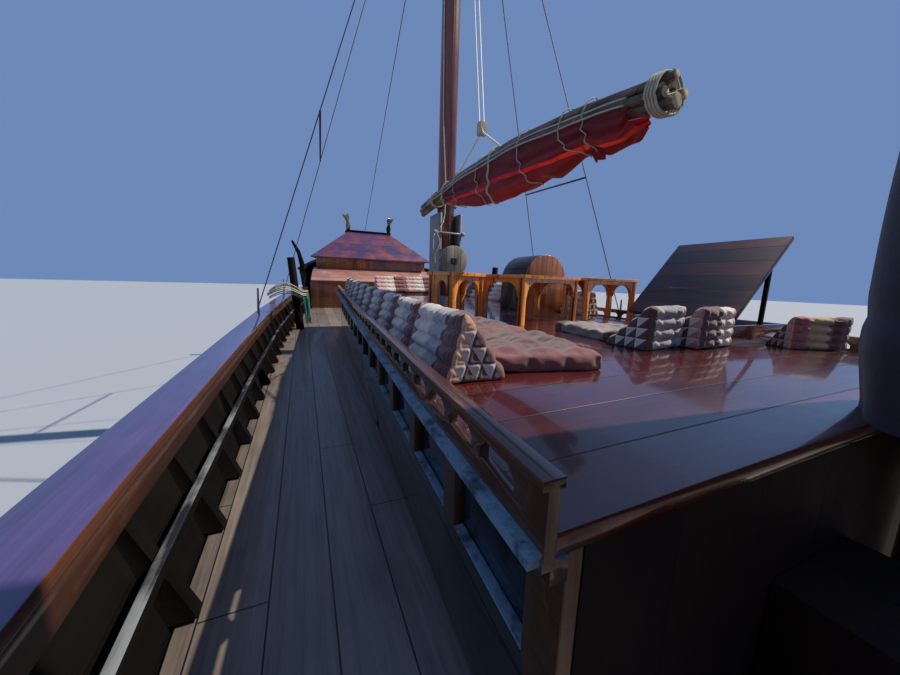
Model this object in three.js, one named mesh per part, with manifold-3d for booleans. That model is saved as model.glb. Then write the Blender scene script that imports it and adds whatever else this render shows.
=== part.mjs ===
// A two-masted wooden junk: a beamy planked hull with bulwarks, a low cabin with a flat sun deck on top, a
// furled battened sail and a raised forecastle and poop.
// Frame: +X to the bow, +Y to port, +Z up, origin amidships on the centreline at the waterline. Millimetres.
import * as THREE from "three";
import { mergeVertices } from "three/addons/utils/BufferGeometryUtils.js";
import Module from "manifold-3d";

const wasm = await Module();
wasm.setup();

// Driving dimensions.
const SEAT = 0.3; // clearance between pieces that touch
const DECK_Z = 1200; // side deck above the water abreast the cabin's after end
const SHEER_LOW_X = -5500; // where the deck line is lowest
const SHEER_FORE = 2.5e-6; // rise of the deck line per mm squared, forward and aft of its low point
const SHEER_AFT = 8e-6;
const DECK_T = 45;
const PLANK_T = 45; // bulwark planking
const BULWARK_H = 750; // deck to the top of the cap rail
const FLARE = 200; // how far the bulwark leans out by its top
const CAP_W = 250;
const CAP_T = 50;
const BEAM_H = 130; // beam under the cap's inner edge
const BEAM_T = 60;
const FRAME_PITCH = 560;
const CABIN_AFT_X = -5000;
const CABIN_FORE_X = 3800;
const CABIN_AFT_HALF = 2080;
const CABIN_FORE_HALF = 1700;
const CABIN_H = 970; // side deck to the roof's edge
const WALL_T = 50;
const ROOF_T = 60;
const ROOF_CAMBER = 25;
const ROOF_OVER = 40; // roof planks past the cabin wall
const SOLE_Z = 250;
const RAIL_H = 130; // pierced board along the roof's edge
const MAST_X = 870;
const MAST_R = 165;
const MAST_TOP_Z = 13400;
const HOUNDS_Z = 11900;
const MIZZEN_X = -5165;
const MIZZEN_R = 140;
const MIZZEN_TOP_Z = 10600;
const MIZZEN_HOUNDS_Z = 9600;
const FORE_X = 7500; // forecastle bulkhead
const FORE_LEDGE_Z = 2550;
const POOP_X = -7600; // poop bulkhead
const POOP_Z = 2200;
const STERN_X = -11000;
const BOW_X = 11300;

// Hull stations. deck: half breadth at the deck; turn, turnZ: half breadth and height where the bilge
// meets the topside; keelZ: lowest point.
const STATIONS = [
  { x: STERN_X, deck: 2300, turn: 1900, turnZ: 900, keelZ: 350 },
  { x: -10000, deck: 2600, turn: 2300, turnZ: 500, keelZ: -250 },
  { x: -8500, deck: 2900, turn: 2720, turnZ: 200, keelZ: -850 },
  { x: -6500, deck: 3130, turn: 3020, turnZ: 50, keelZ: -1200 },
  { x: -4000, deck: 3220, turn: 3110, turnZ: 0, keelZ: -1330 },
  { x: -1000, deck: 3210, turn: 3100, turnZ: 0, keelZ: -1350 },
  { x: 2000, deck: 3120, turn: 2950, turnZ: 50, keelZ: -1280 },
  { x: 4500, deck: 2930, turn: 2600, turnZ: 150, keelZ: -1100 },
  { x: 6500, deck: 2640, turn: 2050, turnZ: 300, keelZ: -800 },
  { x: 8000, deck: 2330, turn: 1450, turnZ: 500, keelZ: -450 },
  { x: 9500, deck: 1950, turn: 900, turnZ: 900, keelZ: 50 },
  { x: 10500, deck: 1650, turn: 560, turnZ: 1300, keelZ: 650 },
  { x: BOW_X, deck: 1400, turn: 400, turnZ: 1650, keelZ: 1250 },
];

// Colours with roughness and metalness.
const FINISHES = {
  hull: [0x2a1a14, 0.5, 0],
  black: [0x15120f, 0.5, 0],
  deck: [0x4b423b, 0.75, 0],
  varnish: [0x5c2416, 0.15, 0],
  rail: [0x4a2a1c, 0.35, 0],
  post: [0x6d3c1c, 0.35, 0],
  glass: [0x1a2530, 0.05, 0],
  ledge: [0x4d6474, 0.5, 0],
  orange: [0xb0621c, 0.3, 0],
  mast: [0x6a2d1a, 0.35, 0],
  grey: [0x7b7d80, 0.7, 0],
  bamboo: [0x7a6547, 0.6, 0],
  sail: [0x9c1620, 0.85, 0],
  canvas: [0x1d232b, 0.9, 0],
  cushion: [0xb9a79b, 0.9, 0],
  steel: [0x9a9a98, 0.35, 1],
  bronze: [0x8c6a35, 0.35, 1],
  cream: [0xd8cfae, 0.9, 0],
  teal: [0x2f8f7c, 0.8, 0],
};

const boat = new THREE.Group();

function solid(geometry) {
  const bare = geometry.clone();
  bare.deleteAttribute("normal");
  bare.deleteAttribute("uv");
  const merged = mergeVertices(bare, 1e-3);
  return new wasm.Manifold(
    new wasm.Mesh({
      numProp: 3,
      vertProperties: merged.attributes.position.array,
      triVerts: new Uint32Array(merged.index.array),
    }),
  );
}

function fuse(pieces) {
  return pieces.map((p) => (p.isBufferGeometry ? solid(p) : p)).reduce((a, b) => a.add(b));
}

function cut(body, tools) {
  const whole = body.isBufferGeometry ? solid(body) : body;
  return tools.reduce((a, t) => a.subtract(t.isBufferGeometry ? solid(t) : t), whole);
}

function add(name, finish, shape) {
  let geometry = shape;
  if (!shape.isBufferGeometry) {
    const m = shape.getMesh();
    geometry = new THREE.BufferGeometry();
    geometry.setAttribute("position", new THREE.BufferAttribute(new Float32Array(m.vertProperties), 3));
    geometry.setIndex(new THREE.BufferAttribute(new Uint32Array(m.triVerts), 1));
    geometry.computeVertexNormals();
  }
  const [color, roughness, metalness] = FINISHES[finish];
  const mesh = new THREE.Mesh(geometry, new THREE.MeshStandardMaterial({ color, roughness, metalness }));
  mesh.name = name;
  boat.add(mesh);
  return mesh;
}

function block(x0, x1, y0, y1, z0, z1) {
  const g = new THREE.BoxGeometry(x1 - x0, y1 - y0, z1 - z0);
  return g.translate((x0 + x1) / 2, (y0 + y1) / 2, (z0 + z1) / 2);
}

// A round bar between two points, with its own end radii.
function bar(from, to, r0, r1 = r0, sides = 12) {
  const a = new THREE.Vector3(...from);
  const b = new THREE.Vector3(...to);
  const g = new THREE.CylinderGeometry(r1, r0, a.distanceTo(b), sides);
  const turn = new THREE.Quaternion().setFromUnitVectors(
    new THREE.Vector3(0, 1, 0),
    b.clone().sub(a).normalize(),
  );
  g.applyQuaternion(turn);
  return g.translate((a.x + b.x) / 2, (a.y + b.y) / 2, (a.z + b.z) / 2);
}

// Triangles that close a flat outline, wound the same way as the outline.
function capOf(flat) {
  const sense = Math.sign(THREE.ShapeUtils.area(flat));
  return THREE.ShapeUtils.triangulateShape(flat, []).map(([a, b, c]) =>
    Math.sign(THREE.ShapeUtils.area([flat[a], flat[b], flat[c]])) === sense ? [a, b, c] : [a, c, b],
  );
}

// A closed geometry from points and faces, turned so that its faces point out.
function closed(points, faces) {
  const volume = faces.reduce((v, [a, b, c]) => {
    const [p, q, r] = [points[a], points[b], points[c]].map((s) => new THREE.Vector3(...s));
    return v + p.dot(q.cross(r));
  }, 0);
  const g = new THREE.BufferGeometry();
  g.setAttribute("position", new THREE.BufferAttribute(new Float32Array(points.flat()), 3));
  g.setIndex((volume < 0 ? faces.map(([a, b, c]) => [a, c, b]) : faces).flat());
  g.computeVertexNormals();
  return g;
}

// A closed body through sections, each a list of [x, y, z] points in the same order. face(point) gives the two
// coordinates that its flat ends are seen by: across the boat unless it says otherwise.
function loft(sections, face = ([, y, z]) => [y, z]) {
  const n = sections[0].length;
  const last = (sections.length - 1) * n;
  const faces = [];
  for (let i = 0; i + 1 < sections.length; i++) {
    for (let j = 0; j < n; j++) {
      const a = i * n + j;
      const b = i * n + ((j + 1) % n);
      faces.push([a, b, b + n], [a, b + n, a + n]);
    }
  }
  const flat = (section) => section.map((point) => new THREE.Vector2(...face(point)));
  for (const [a, b, c] of capOf(flat(sections[0]))) faces.push([a, c, b]);
  for (const [a, b, c] of capOf(flat(sections.at(-1)))) faces.push([last + a, last + b, last + c]);
  return closed(sections.flat(), faces);
}

// The same through level rings, one above the other.
function stack(rings) {
  return loft(rings, ([x, y]) => [x, y]);
}

// An outline in one plane pushed through a thickness along the third axis.
function plate(outline, plane, from, to) {
  const place = {
    xz: ([u, v], w) => [u, w, v],
    yz: ([u, v], w) => [w, u, v],
    xy: ([u, v], w) => [u, v, w],
  }[plane];
  const n = outline.length;
  const faces = [];
  for (let j = 0; j < n; j++) {
    const k = (j + 1) % n;
    faces.push([j, k, k + n], [j, k + n, j + n]);
  }
  const flat = outline.map(([u, v]) => new THREE.Vector2(u, v));
  for (const [a, b, c] of capOf(flat)) faces.push([a, c, b], [a + n, b + n, c + n]);
  return closed([from, to].flatMap((w) => outline.map((p) => place(p, w))), faces);
}

// Reading the hull's lines anywhere along its length.
function between(x, read) {
  const next = STATIONS.findIndex((s) => s.x >= x);
  const i = next < 0 ? STATIONS.length - 1 : Math.max(1, next);
  const a = STATIONS[i - 1];
  const b = STATIONS[i];
  return read(a) + ((read(b) - read(a)) * (x - a.x)) / (b.x - a.x);
}

// Rise of the deck line, straight between the stations as the planking runs.
function sheer(x) {
  return between(x, (s) => (s.x > SHEER_LOW_X ? SHEER_FORE : SHEER_AFT) * (s.x - SHEER_LOW_X) ** 2);
}

function deckZ(x) {
  return DECK_Z + sheer(x);
}

function capZ(x) {
  return deckZ(x) + BULWARK_H;
}

function station(x, key) {
  return between(x, (s) => s[key]);
}

function stationsBetween(x0, x1) {
  return [x0, ...STATIONS.map((s) => s.x).filter((x) => x > x0 + 50 && x < x1 - 50), x1];
}

// Places across the roof where its slight camber bends, as shares of its half breadth.
const CROSS_STEPS = [-1, -0.75, -0.5, -0.25, 0, 0.25, 0.5, 0.75, 1];

function cabinHalf(x) {
  const t = (x - CABIN_AFT_X) / (CABIN_FORE_X - CABIN_AFT_X);
  return CABIN_AFT_HALF + (CABIN_FORE_HALF - CABIN_AFT_HALF) * t;
}

function roofEdgeZ(x) {
  return deckZ(x) + CABIN_H;
}

// Height of the roof's upper face.
function roofZ(x, y) {
  const share = Math.min(Math.abs(y) / (cabinHalf(x) + ROOF_OVER), 1.24);
  const step = Math.min(Math.floor(share / 0.25), 3) * 0.25;
  const fall = step ** 2 + ((share - step) / 0.25) * ((step + 0.25) ** 2 - step ** 2);
  return roofEdgeZ(x) + ROOF_CAMBER * (1 - fall);
}

// A strip that follows a side of the hull: section(x) gives [y, z] points for the port side.
function strip(xs, side, section) {
  return loft(xs.map((x) => section(x).map(([y, z]) => [x, side * y, z])));
}

const SIDES = [
  ["port", 1],
  ["stbd", -1],
];

// The hull, a planked round-bilged body, decked and solid below the sole, with the cabin's well in it.
const BILGE_STEPS = 6;
function hullSection(s) {
  const half = [[0, s.keelZ]];
  for (let i = 1; i <= BILGE_STEPS; i++) {
    const a = (i / BILGE_STEPS) * (Math.PI / 2);
    half.push([s.turn * Math.sin(a) ** 0.8, s.turnZ - (s.turnZ - s.keelZ) * Math.cos(a) ** 0.8]);
  }
  half.push([s.deck, deckZ(s.x) - DECK_T]);
  const port = half.slice(1).map(([y, z]) => [s.x, y, z]);
  const stbd = port.map(([x, y, z]) => [x, -y, z]).reverse();
  return [[s.x, 0, s.keelZ], ...port, ...stbd];
}
// Rubbing strake along the topside just under the deck.
function wale(side) {
  return strip(stationsBetween(STERN_X + 60, BOW_X - 60), side, (x) => {
    const top = deckZ(x) - DECK_T - 60;
    const skin = (z) => {
      const t = (z - station(x, "turnZ")) / (deckZ(x) - DECK_T - station(x, "turnZ"));
      return station(x, "turn") + (station(x, "deck") - station(x, "turn")) * t;
    };
    return [
      [skin(top - 160) - 20, top - 160],
      [skin(top - 160) + 80, top - 150],
      [skin(top) + 80, top - 10],
      [skin(top) - 20, top],
    ];
  });
}
const WELL = { x0: CABIN_AFT_X + 150, x1: CABIN_FORE_X - 150, half: 1600 };
add(
  "hull",
  "hull",
  cut(fuse([loft(STATIONS.map(hullSection)), wale(1), wale(-1)]), [
    block(WELL.x0, WELL.x1, -WELL.half, WELL.half, SOLE_Z, DECK_Z + 600),
  ]),
);

// Long straight keel under the hull, deepest aft, where it carries the shaft and the rudder's heel.
const KEEL_HALF = 110;
const KEEL_Z = -1650;
const POST_X = STERN_X - 60;
const APERTURE = { x0: -9950, x1: -9150, z0: -1350, z1: -550 };
const RUDDER_X = STERN_X - 140;
const STOCK_R = 60;
const GUDGEON = { zs: [-1560, 200, 1120], height: 90, r: 105 };
const keelOutline = [
  [POST_X, KEEL_Z],
  [6200, KEEL_Z + 250],
  [9300, -150],
  [9300, 200],
  [-9000, 200],
  [STERN_X - SEAT, 900],
  [STERN_X - SEAT, 1290],
  [POST_X, 1290],
];
const gudgeons = GUDGEON.zs.flatMap((z) => [
  bar([RUDDER_X, 0, z], [RUDDER_X, 0, z + GUDGEON.height], GUDGEON.r, GUDGEON.r, 24),
  block(RUDDER_X, POST_X + 10, -85, 85, z, z + GUDGEON.height),
]);
const hullCut = loft(
  STATIONS.map((s, i) => {
    const past = i === 0 ? -1 : 0;
    return hullSection(s).map(([x, y, z]) => [x + past * SEAT, y, z < deckZ(s.x) - 100 ? z - 0.5 : z]);
  }),
);
add(
  "keel",
  "hull",
  cut(fuse([plate(keelOutline, "xz", -KEEL_HALF, KEEL_HALF), ...gudgeons]), [
    hullCut,
    block(APERTURE.x0, APERTURE.x1, -KEEL_HALF - 5, KEEL_HALF + 5, APERTURE.z0, APERTURE.z1),
    bar([RUDDER_X, 0, -1450], [RUDDER_X, 0, 1600], STOCK_R + 1.2, STOCK_R + 1.2, 32),
    bar([RUDDER_X, 0, -1520], [RUDDER_X, 0, -1400], 41.2, 41.2, 32),
  ]),
);

// Deck planking as one slab between the bulwarks, open over the cabin's well.
const deckInset = PLANK_T + 16;
add(
  "main_deck",
  "deck",
  cut(
    loft(
      stationsBetween(STERN_X + 80, BOW_X - 80).map((x) => {
        const y = station(x, "deck") - deckInset;
        const z = deckZ(x);
        const under = z - DECK_T + SEAT;
        return [
          [x, y, under],
          [x, y, z],
          [x, -y, z],
          [x, -y, under],
        ];
      }),
    ),
    [block(WELL.x0, WELL.x1, -WELL.half, WELL.half, DECK_Z - 200, DECK_Z + 600)],
  ),
);

// What stands on the deck is cut to its rise.
function deckFitted(shape) {
  const under = loft(
    stationsBetween(STERN_X, BOW_X).map((x) => [
      [x, 4000, 0],
      [x, 4000, deckZ(x) + SEAT],
      [x, -4000, deckZ(x) + SEAT],
      [x, -4000, 0],
    ]),
  );
  return cut(shape, [under]);
}

// Bulwarks: flared planking on the hull's edge, tapered frames inside and a stringer along them.
function bulwarkY(x, z) {
  return station(x, "deck") + (FLARE * (z - deckZ(x))) / (BULWARK_H - CAP_T);
}
// Inboard face of the bulwark's frames: deep at the deck, thin behind the beam under the cap.
function frameInner(x, z) {
  const t = (z - deckZ(x)) / (BULWARK_H - CAP_T - BEAM_H);
  return station(x, "deck") - 155 + 228 * t;
}
const FRAME_X0 = -7300;
const FRAME_W = 75;
for (const [word, side] of SIDES) {
  const planking = strip(stationsBetween(STERN_X, BOW_X), side, (x) => {
    const low = deckZ(x) - DECK_T + SEAT;
    const high = capZ(x) - CAP_T - SEAT;
    return [
      [bulwarkY(x, low) - PLANK_T, low],
      [bulwarkY(x, low), low],
      [bulwarkY(x, high), high],
      [bulwarkY(x, high) - PLANK_T, high],
    ];
  });
  const frames = [];
  for (let x = FRAME_X0; x < FORE_X - 150; x += FRAME_PITCH) {
    const low = deckZ(x) + 20;
    const high = Math.min(capZ(x), capZ(x + FRAME_W)) - CAP_T - SEAT;
    const knee = high - BEAM_H;
    frames.push(
      strip([x, x + FRAME_W], side, (u) => [
        [frameInner(u, low), low],
        [bulwarkY(u, low) - 15, low],
        [bulwarkY(u, high) - 15, high],
        [frameInner(u, knee), high],
        [frameInner(u, knee), knee],
      ]),
    );
  }
  const stringer = strip(stationsBetween(FRAME_X0, FORE_X - 150), side, (x) => {
    const z = deckZ(x) + 300;
    const y = frameInner(x, z) + 5;
    return [
      [y - 40, z],
      [y, z],
      [y, z + 55],
      [y - 40, z + 55],
    ];
  });
  add(`bulwark_${word}`, "black", fuse([planking, ...frames, stringer]));

  const xs = stationsBetween(FRAME_X0, FORE_X - 150);
  const cap = strip(stationsBetween(STERN_X, FORE_X + 60), side, (x) => {
    const inner = station(x, "deck") + 5;
    return [
      [inner, capZ(x) - CAP_T],
      [inner + CAP_W, capZ(x) - CAP_T],
      [inner + CAP_W, capZ(x)],
      [inner, capZ(x)],
    ];
  });
  const beam = strip(xs, side, (x) => {
    const inner = station(x, "deck") + 10;
    const top = capZ(x) - CAP_T + 5;
    return [
      [inner, top - BEAM_H],
      [inner + BEAM_T, top - BEAM_H],
      [inner + BEAM_T, top],
      [inner, top],
    ];
  });
  add(`cap_rail_${word}`, "varnish", fuse([cap, beam]));
}

// Cabin walls with their windows cut, standing on the deck round the well.
const WALL_FOOT_INSET = SEAT;
const WINDOW = { pitch: 650, width: 520, low: 470, high: 800 };
function roofUnder(x, y) {
  return roofZ(x, y) - ROOF_T;
}
const windowCentres = [];
for (let x = CABIN_AFT_X + 405; x < CABIN_FORE_X - 300; x += WINDOW.pitch) windowCentres.push(x);
for (const [word, side] of SIDES) {
  const wall = strip(stationsBetween(CABIN_AFT_X, CABIN_FORE_X), side, (x) => {
    const y = cabinHalf(x);
    return [
      [y - WALL_T, deckZ(x) + WALL_FOOT_INSET],
      [y, deckZ(x) + WALL_FOOT_INSET],
      [y, roofUnder(x, y) - SEAT],
      [y - WALL_T, roofUnder(x, y) - SEAT],
    ];
  });
  const holes = windowCentres.map((x) =>
    strip([x - WINDOW.width / 2, x + WINDOW.width / 2], side, (u) => {
      const y = cabinHalf(u);
      return [
        [y - WALL_T - 40, deckZ(u) + WINDOW.low],
        [y + 40, deckZ(u) + WINDOW.low],
        [y + 40, deckZ(u) + WINDOW.high],
        [y - WALL_T - 40, deckZ(u) + WINDOW.high],
      ];
    }),
  );
  add(`cabin_side_${word}`, "post", cut(wall, holes));

  add(
    `window_panes_${word}`,
    "glass",
    strip(stationsBetween(CABIN_AFT_X + 120, CABIN_FORE_X - 120), side, (x) => {
      const y = cabinHalf(x) - WALL_T - SEAT;
      return [
        [y - 8, deckZ(x) + WINDOW.low - 30],
        [y, deckZ(x) + WINDOW.low - 30],
        [y, deckZ(x) + WINDOW.high + 30],
        [y - 8, deckZ(x) + WINDOW.high + 30],
      ];
    }),
  );
}

function crossWall(x0, x1, half, topInset) {
  const foot = Math.max(deckZ(x0), deckZ(x1)) + SEAT;
  const knots = [-0.75, -0.5, -0.25, 0, 0.25, 0.5, 0.75].map((t) => t * (cabinHalf(x0) + ROOF_OVER));
  const line = [-half, ...knots, half].map((y) => [y, roofUnder(x0, y) - topInset]);
  return plate([[-half, foot], [half, foot], ...line.reverse()], "yz", x0, x1);
}
const DOOR = { y0: -1250, y1: -600, height: 860 };
const aftHalf = cabinHalf(CABIN_AFT_X + WALL_T) - WALL_T - SEAT;
const foreHalf = CABIN_FORE_HALF - WALL_T - SEAT;
const DOOR_HINGE = { x: CABIN_AFT_X - 20, y: DOOR.y0 + 8 };
const KNUCKLE_Z = [DECK_Z + 200, DECK_Z + 620];
const doorLugs = KNUCKLE_Z.flatMap((z) => [
  bar([DOOR_HINGE.x, DOOR_HINGE.y, z - 22], [DOOR_HINGE.x, DOOR_HINGE.y, z - SEAT], 12, 12, 20),
  block(DOOR_HINGE.x, CABIN_AFT_X + 5, DOOR.y0 - 12, DOOR_HINGE.y + 12, z - 22, z - SEAT),
  bar([DOOR_HINGE.x, DOOR_HINGE.y, z - 10], [DOOR_HINGE.x, DOOR_HINGE.y, z + 66], 6, 6, 20),
]);
add(
  "cabin_aft_wall",
  "rail",
  fuse([
    cut(crossWall(CABIN_AFT_X, CABIN_AFT_X + WALL_T, aftHalf, SEAT + 2), [
      block(CABIN_AFT_X - 50, CABIN_AFT_X + 100, DOOR.y0, DOOR.y1, DECK_Z + 30, DECK_Z + 30 + DOOR.height),
    ]),
    ...doorLugs,
  ]),
);
add("cabin_fore_wall", "post", crossWall(CABIN_FORE_X - WALL_T, CABIN_FORE_X, foreHalf, SEAT + 25));

// One door leaf in the after wall, hung on its starboard edge and opening aft. Its knuckles turn on pins
// that stand on lugs of the wall.
const LEAF = { x0: CABIN_AFT_X - 30, x1: CABIN_AFT_X - 6, y0: DOOR_HINGE.y + 16, y1: DOOR.y1 + 20 };
add(
  "cabin_door",
  "varnish",
  cut(
    fuse([
      block(LEAF.x0, LEAF.x1, LEAF.y0, LEAF.y1, DECK_Z + 40, DECK_Z + 30 + DOOR.height),
      bar([LEAF.x0 - 30, LEAF.y1 - 80, DECK_Z + 480], [LEAF.x1 - 10, LEAF.y1 - 80, DECK_Z + 480], 18),
      ...KNUCKLE_Z.flatMap((z) => [
        bar([DOOR_HINGE.x, DOOR_HINGE.y, z], [DOOR_HINGE.x, DOOR_HINGE.y, z + 90], 12, 12, 20),
        block(LEAF.x0 + 4, LEAF.x1 - 6, DOOR_HINGE.y, LEAF.y0 + 5, z, z + 90),
      ]),
    ]),
    KNUCKLE_Z.map((z) => {
      const { x, y } = DOOR_HINGE;
      return bar([x, y, z - 5], [x, y, z + 70], 6.4, 6.4, 20);
    }),
  ),
);

// Roof that is also the sun deck, nearly flat, with the hatch opening through it.
const HATCH = { x0: -3700, x1: -2630, y0: -1965, y1: -1000, coaming: 42, top: 2372 };
function roofSection(x) {
  const half = cabinHalf(x) + ROOF_OVER;
  const top = CROSS_STEPS.map((t) => [x, t * half, roofZ(x, t * half)]);
  const under = CROSS_STEPS.map((t) => [x, t * half, roofZ(x, t * half) - ROOF_T]).reverse();
  return [...top, ...under];
}
add(
  "cabin_roof",
  "varnish",
  cut(loft(stationsBetween(CABIN_AFT_X - 5, CABIN_FORE_X + ROOF_OVER).map(roofSection)), [
    block(HATCH.x0 + 50, HATCH.x1 - 50, HATCH.y0 + 50, HATCH.y1 - 50, 2000, 2600),
  ]),
);

// Pierced rail along each side of the roof, with the painted ledge outside its foot.
const RAIL_X0 = CABIN_AFT_X - 5;
const RAIL_X1 = CABIN_FORE_X;
const PIERCE = { pitch: 250, length: 190, low: 14, high: 76 };
for (const [word, side] of SIDES) {
  const body = strip(stationsBetween(RAIL_X0, RAIL_X1), side, (x) => {
    const y = cabinHalf(x) + ROOF_OVER + SEAT;
    const foot = roofZ(x, y) - ROOF_T;
    return [
      [y, foot],
      [y + 32, foot],
      [y + 32, foot + ROOF_T + RAIL_H - 26],
      [y + 48, foot + ROOF_T + RAIL_H - 26],
      [y + 48, foot + ROOF_T + RAIL_H],
      [y - 12, foot + ROOF_T + RAIL_H],
      [y - 12, foot + ROOF_T + RAIL_H - 26],
      [y, foot + ROOF_T + RAIL_H - 26],
    ];
  });
  const holes = [];
  for (let x = RAIL_X0 + 130; x + PIERCE.length < RAIL_X1 - 60; x += PIERCE.pitch) {
    const y = cabinHalf(x) + ROOF_OVER;
    const z = roofZ(x, y);
    const outline = [
      [x, z + PIERCE.low],
      [x, z + (PIERCE.low + PIERCE.high) / 2],
      [x + 33, z + PIERCE.high],
      [x + PIERCE.length - 33, z + PIERCE.high],
      [x + PIERCE.length, z + (PIERCE.low + PIERCE.high) / 2],
      [x + PIERCE.length, z + PIERCE.low],
    ];
    const across = [side * (y - 60), side * (y + 120)].sort((a, b) => a - b);
    holes.push(plate(outline, "xz", ...across));
  }
  const ledge = strip(stationsBetween(RAIL_X0, RAIL_X1), side, (x) => {
    const y = cabinHalf(x) + SEAT;
    const top = roofZ(x, y + ROOF_OVER) - ROOF_T - SEAT;
    return [
      [y, top - 70],
      [y + 50, top - 70],
      [y + 50, top - 30],
      [y + 75, top - 30],
      [y + 75, top + 3],
      [y + ROOF_OVER + 2, top + 3],
      [y + ROOF_OVER + 2, top - 10],
      [y, top - 10],
    ];
  });
  add(`roof_rail_${word}`, "rail", fuse([cut(body, holes), ledge]));
}

// Step box against the after wall, for climbing to the sun deck.
const BOX_X0 = CABIN_AFT_X - 620;
add("step_box", "varnish", deckFitted(block(BOX_X0, CABIN_AFT_X - SEAT, 530, 1110, DECK_Z, 1690)));

// What stands on the roof is cut to its upper face.
function roofFitted(shape) {
  const under = loft(
    stationsBetween(CABIN_AFT_X - 200, CABIN_FORE_X + 200).map((x) => {
      const half = cabinHalf(x) + ROOF_OVER;
      const top = [-1.24, ...CROSS_STEPS, 1.24].map((t) => [x, t * half, roofZ(x, t * half) + SEAT]);
      return [[x, -half * 1.24, 1000], ...top, [x, half * 1.24, 1000]];
    }),
  );
  return cut(shape, [under]);
}
// Hatch: a coaming on the roof, and a planked lid hinged on its port edge and held up by a stay.
const LID = { angle: 46.5, width: 1130, thick: 42, pivotY: HATCH.y1 + 25, pivotZ: HATCH.top + 18 };
const LID_KNUCKLES = [-3540, -3205, -2870];
const KNUCKLE_W = 80;
const lidLugs = LID_KNUCKLES.flatMap((x) => [
  bar([x - 24, LID.pivotY, LID.pivotZ], [x - SEAT, LID.pivotY, LID.pivotZ], 13, 13, 20),
  block(x - 24, x - SEAT, HATCH.y1 - 12, LID.pivotY + 13, HATCH.top - 70, HATCH.top),
  block(x - 24, x - SEAT, LID.pivotY - 13, LID.pivotY + 13, HATCH.top - 10, LID.pivotZ),
  bar([x - 12, LID.pivotY, LID.pivotZ], [x + 66, LID.pivotY, LID.pivotZ], 6, 6, 20),
]);
const coaming = cut(block(HATCH.x0, HATCH.x1, HATCH.y0, HATCH.y1, 2100, HATCH.top), [
  block(
    HATCH.x0 + HATCH.coaming,
    HATCH.x1 - HATCH.coaming,
    HATCH.y0 + HATCH.coaming,
    HATCH.y1 - HATCH.coaming,
    2000,
    2500,
  ),
]);
add("hatch_coaming", "varnish", roofFitted(fuse([coaming, ...lidLugs])));

function lidTurned(g) {
  return g
    .translate(0, -LID.pivotY, -LID.pivotZ)
    .rotateX(THREE.MathUtils.degToRad(-LID.angle))
    .translate(0, LID.pivotY, LID.pivotZ);
}
// The lid's planks over a range of heights above its underside.
function lidPlank(low, high) {
  const under = LID.pivotZ - 12;
  return lidTurned(
    block(HATCH.x0 - 10, HATCH.x1 + 10, LID.pivotY - LID.width, LID.pivotY - 20, under + low, under + high),
  );
}
const knuckles = LID_KNUCKLES.flatMap((x) => [
  bar([x, LID.pivotY, LID.pivotZ], [x + KNUCKLE_W, LID.pivotY, LID.pivotZ], 13, 13, 20),
  block(x, x + KNUCKLE_W, LID.pivotY - 24, LID.pivotY, LID.pivotZ - 8, LID.pivotZ + 10),
]);
const pinHoles = LID_KNUCKLES.map((x) =>
  bar([x - 5, LID.pivotY, LID.pivotZ], [x + 70, LID.pivotY, LID.pivotZ], 6.4, 6.4, 20),
);
add("hatch_lid", "varnish", cut(fuse([lidPlank(0, LID.thick), ...knuckles.map(lidTurned)]), pinHoles));
const STAY = { x: HATCH.x0 + HATCH.coaming + 14, y: -1615, w: 36, foot: HATCH.top - 70, top: 3300 };
add(
  "lid_stay",
  "rail",
  cut(block(STAY.x, STAY.x + STAY.w, STAY.y - STAY.w / 2, STAY.y + STAY.w / 2, STAY.foot, STAY.top), [
    lidPlank(-SEAT, 900),
  ]),
);

// Three low tables with arched brackets. x, y: the corner nearest the stern and the port side; long: length
// to starboard; deep: length forward; turn: degrees about the vertical through that corner
const TABLES = [
  { name: "table_near", x: -2330, y: 350, long: 1190, deep: 640, turn: 17.7 },
  { name: "table_far", x: -1960, y: -950, long: 950, deep: 460, turn: 0 },
  { name: "table_port", x: -2250, y: 1170, long: 600, deep: 320, turn: 30 },
];
const TABLE = { height: 575, top: 36, leg: 62, apron: 50, bracket: 170 };
// The apron between two legs, its underside curving down into a bracket at each leg.
function archedApron(from, to, low) {
  const span = Math.min(TABLE.bracket, (to - from) / 2 - 10);
  const outline = [
    [from - 10, low + TABLE.apron],
    [from - 10, low - TABLE.bracket],
    [from + 22, low - TABLE.bracket],
  ];
  for (let i = 1; i <= 4; i++) {
    const a = (i / 4) * (Math.PI / 2);
    outline.push([from + 22 + (span - 22) * (1 - Math.cos(a)), low - TABLE.bracket * (1 - Math.sin(a))]);
  }
  const other = outline.map(([u, v]) => [from + to - u, v]).reverse();
  return [...outline, ...other];
}
for (const t of TABLES) {
  const seat = roofZ(t.x, 0);
  const z = seat + TABLE.height;
  const low = z - TABLE.top - TABLE.apron;
  const corners = [0, t.deep - TABLE.leg].flatMap((x) => [-t.long, -TABLE.leg].map((y) => [x, y]));
  const legs = corners.map(([x, y]) => block(x, x + TABLE.leg, y, y + TABLE.leg, 2120, z - TABLE.top + 5));
  const along = archedApron(TABLE.leg - t.long, -TABLE.leg, low);
  const across = archedApron(TABLE.leg, t.deep - TABLE.leg, low);
  const aprons = [
    plate(along, "yz", 8, 40),
    plate(along, "yz", t.deep - 40, t.deep - 8),
    plate(across, "xz", 8 - t.long, 40 - t.long),
    plate(across, "xz", -40, -8),
  ];
  const top = block(-20, t.deep + 20, -20 - t.long, 20, z - TABLE.top, z);
  const placed = [top, ...legs, ...aprons].map((g) =>
    g.rotateZ(THREE.MathUtils.degToRad(t.turn)).translate(t.x, t.y, 0),
  );
  add(t.name, "orange", roofFitted(fuse(placed)));
}

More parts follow.
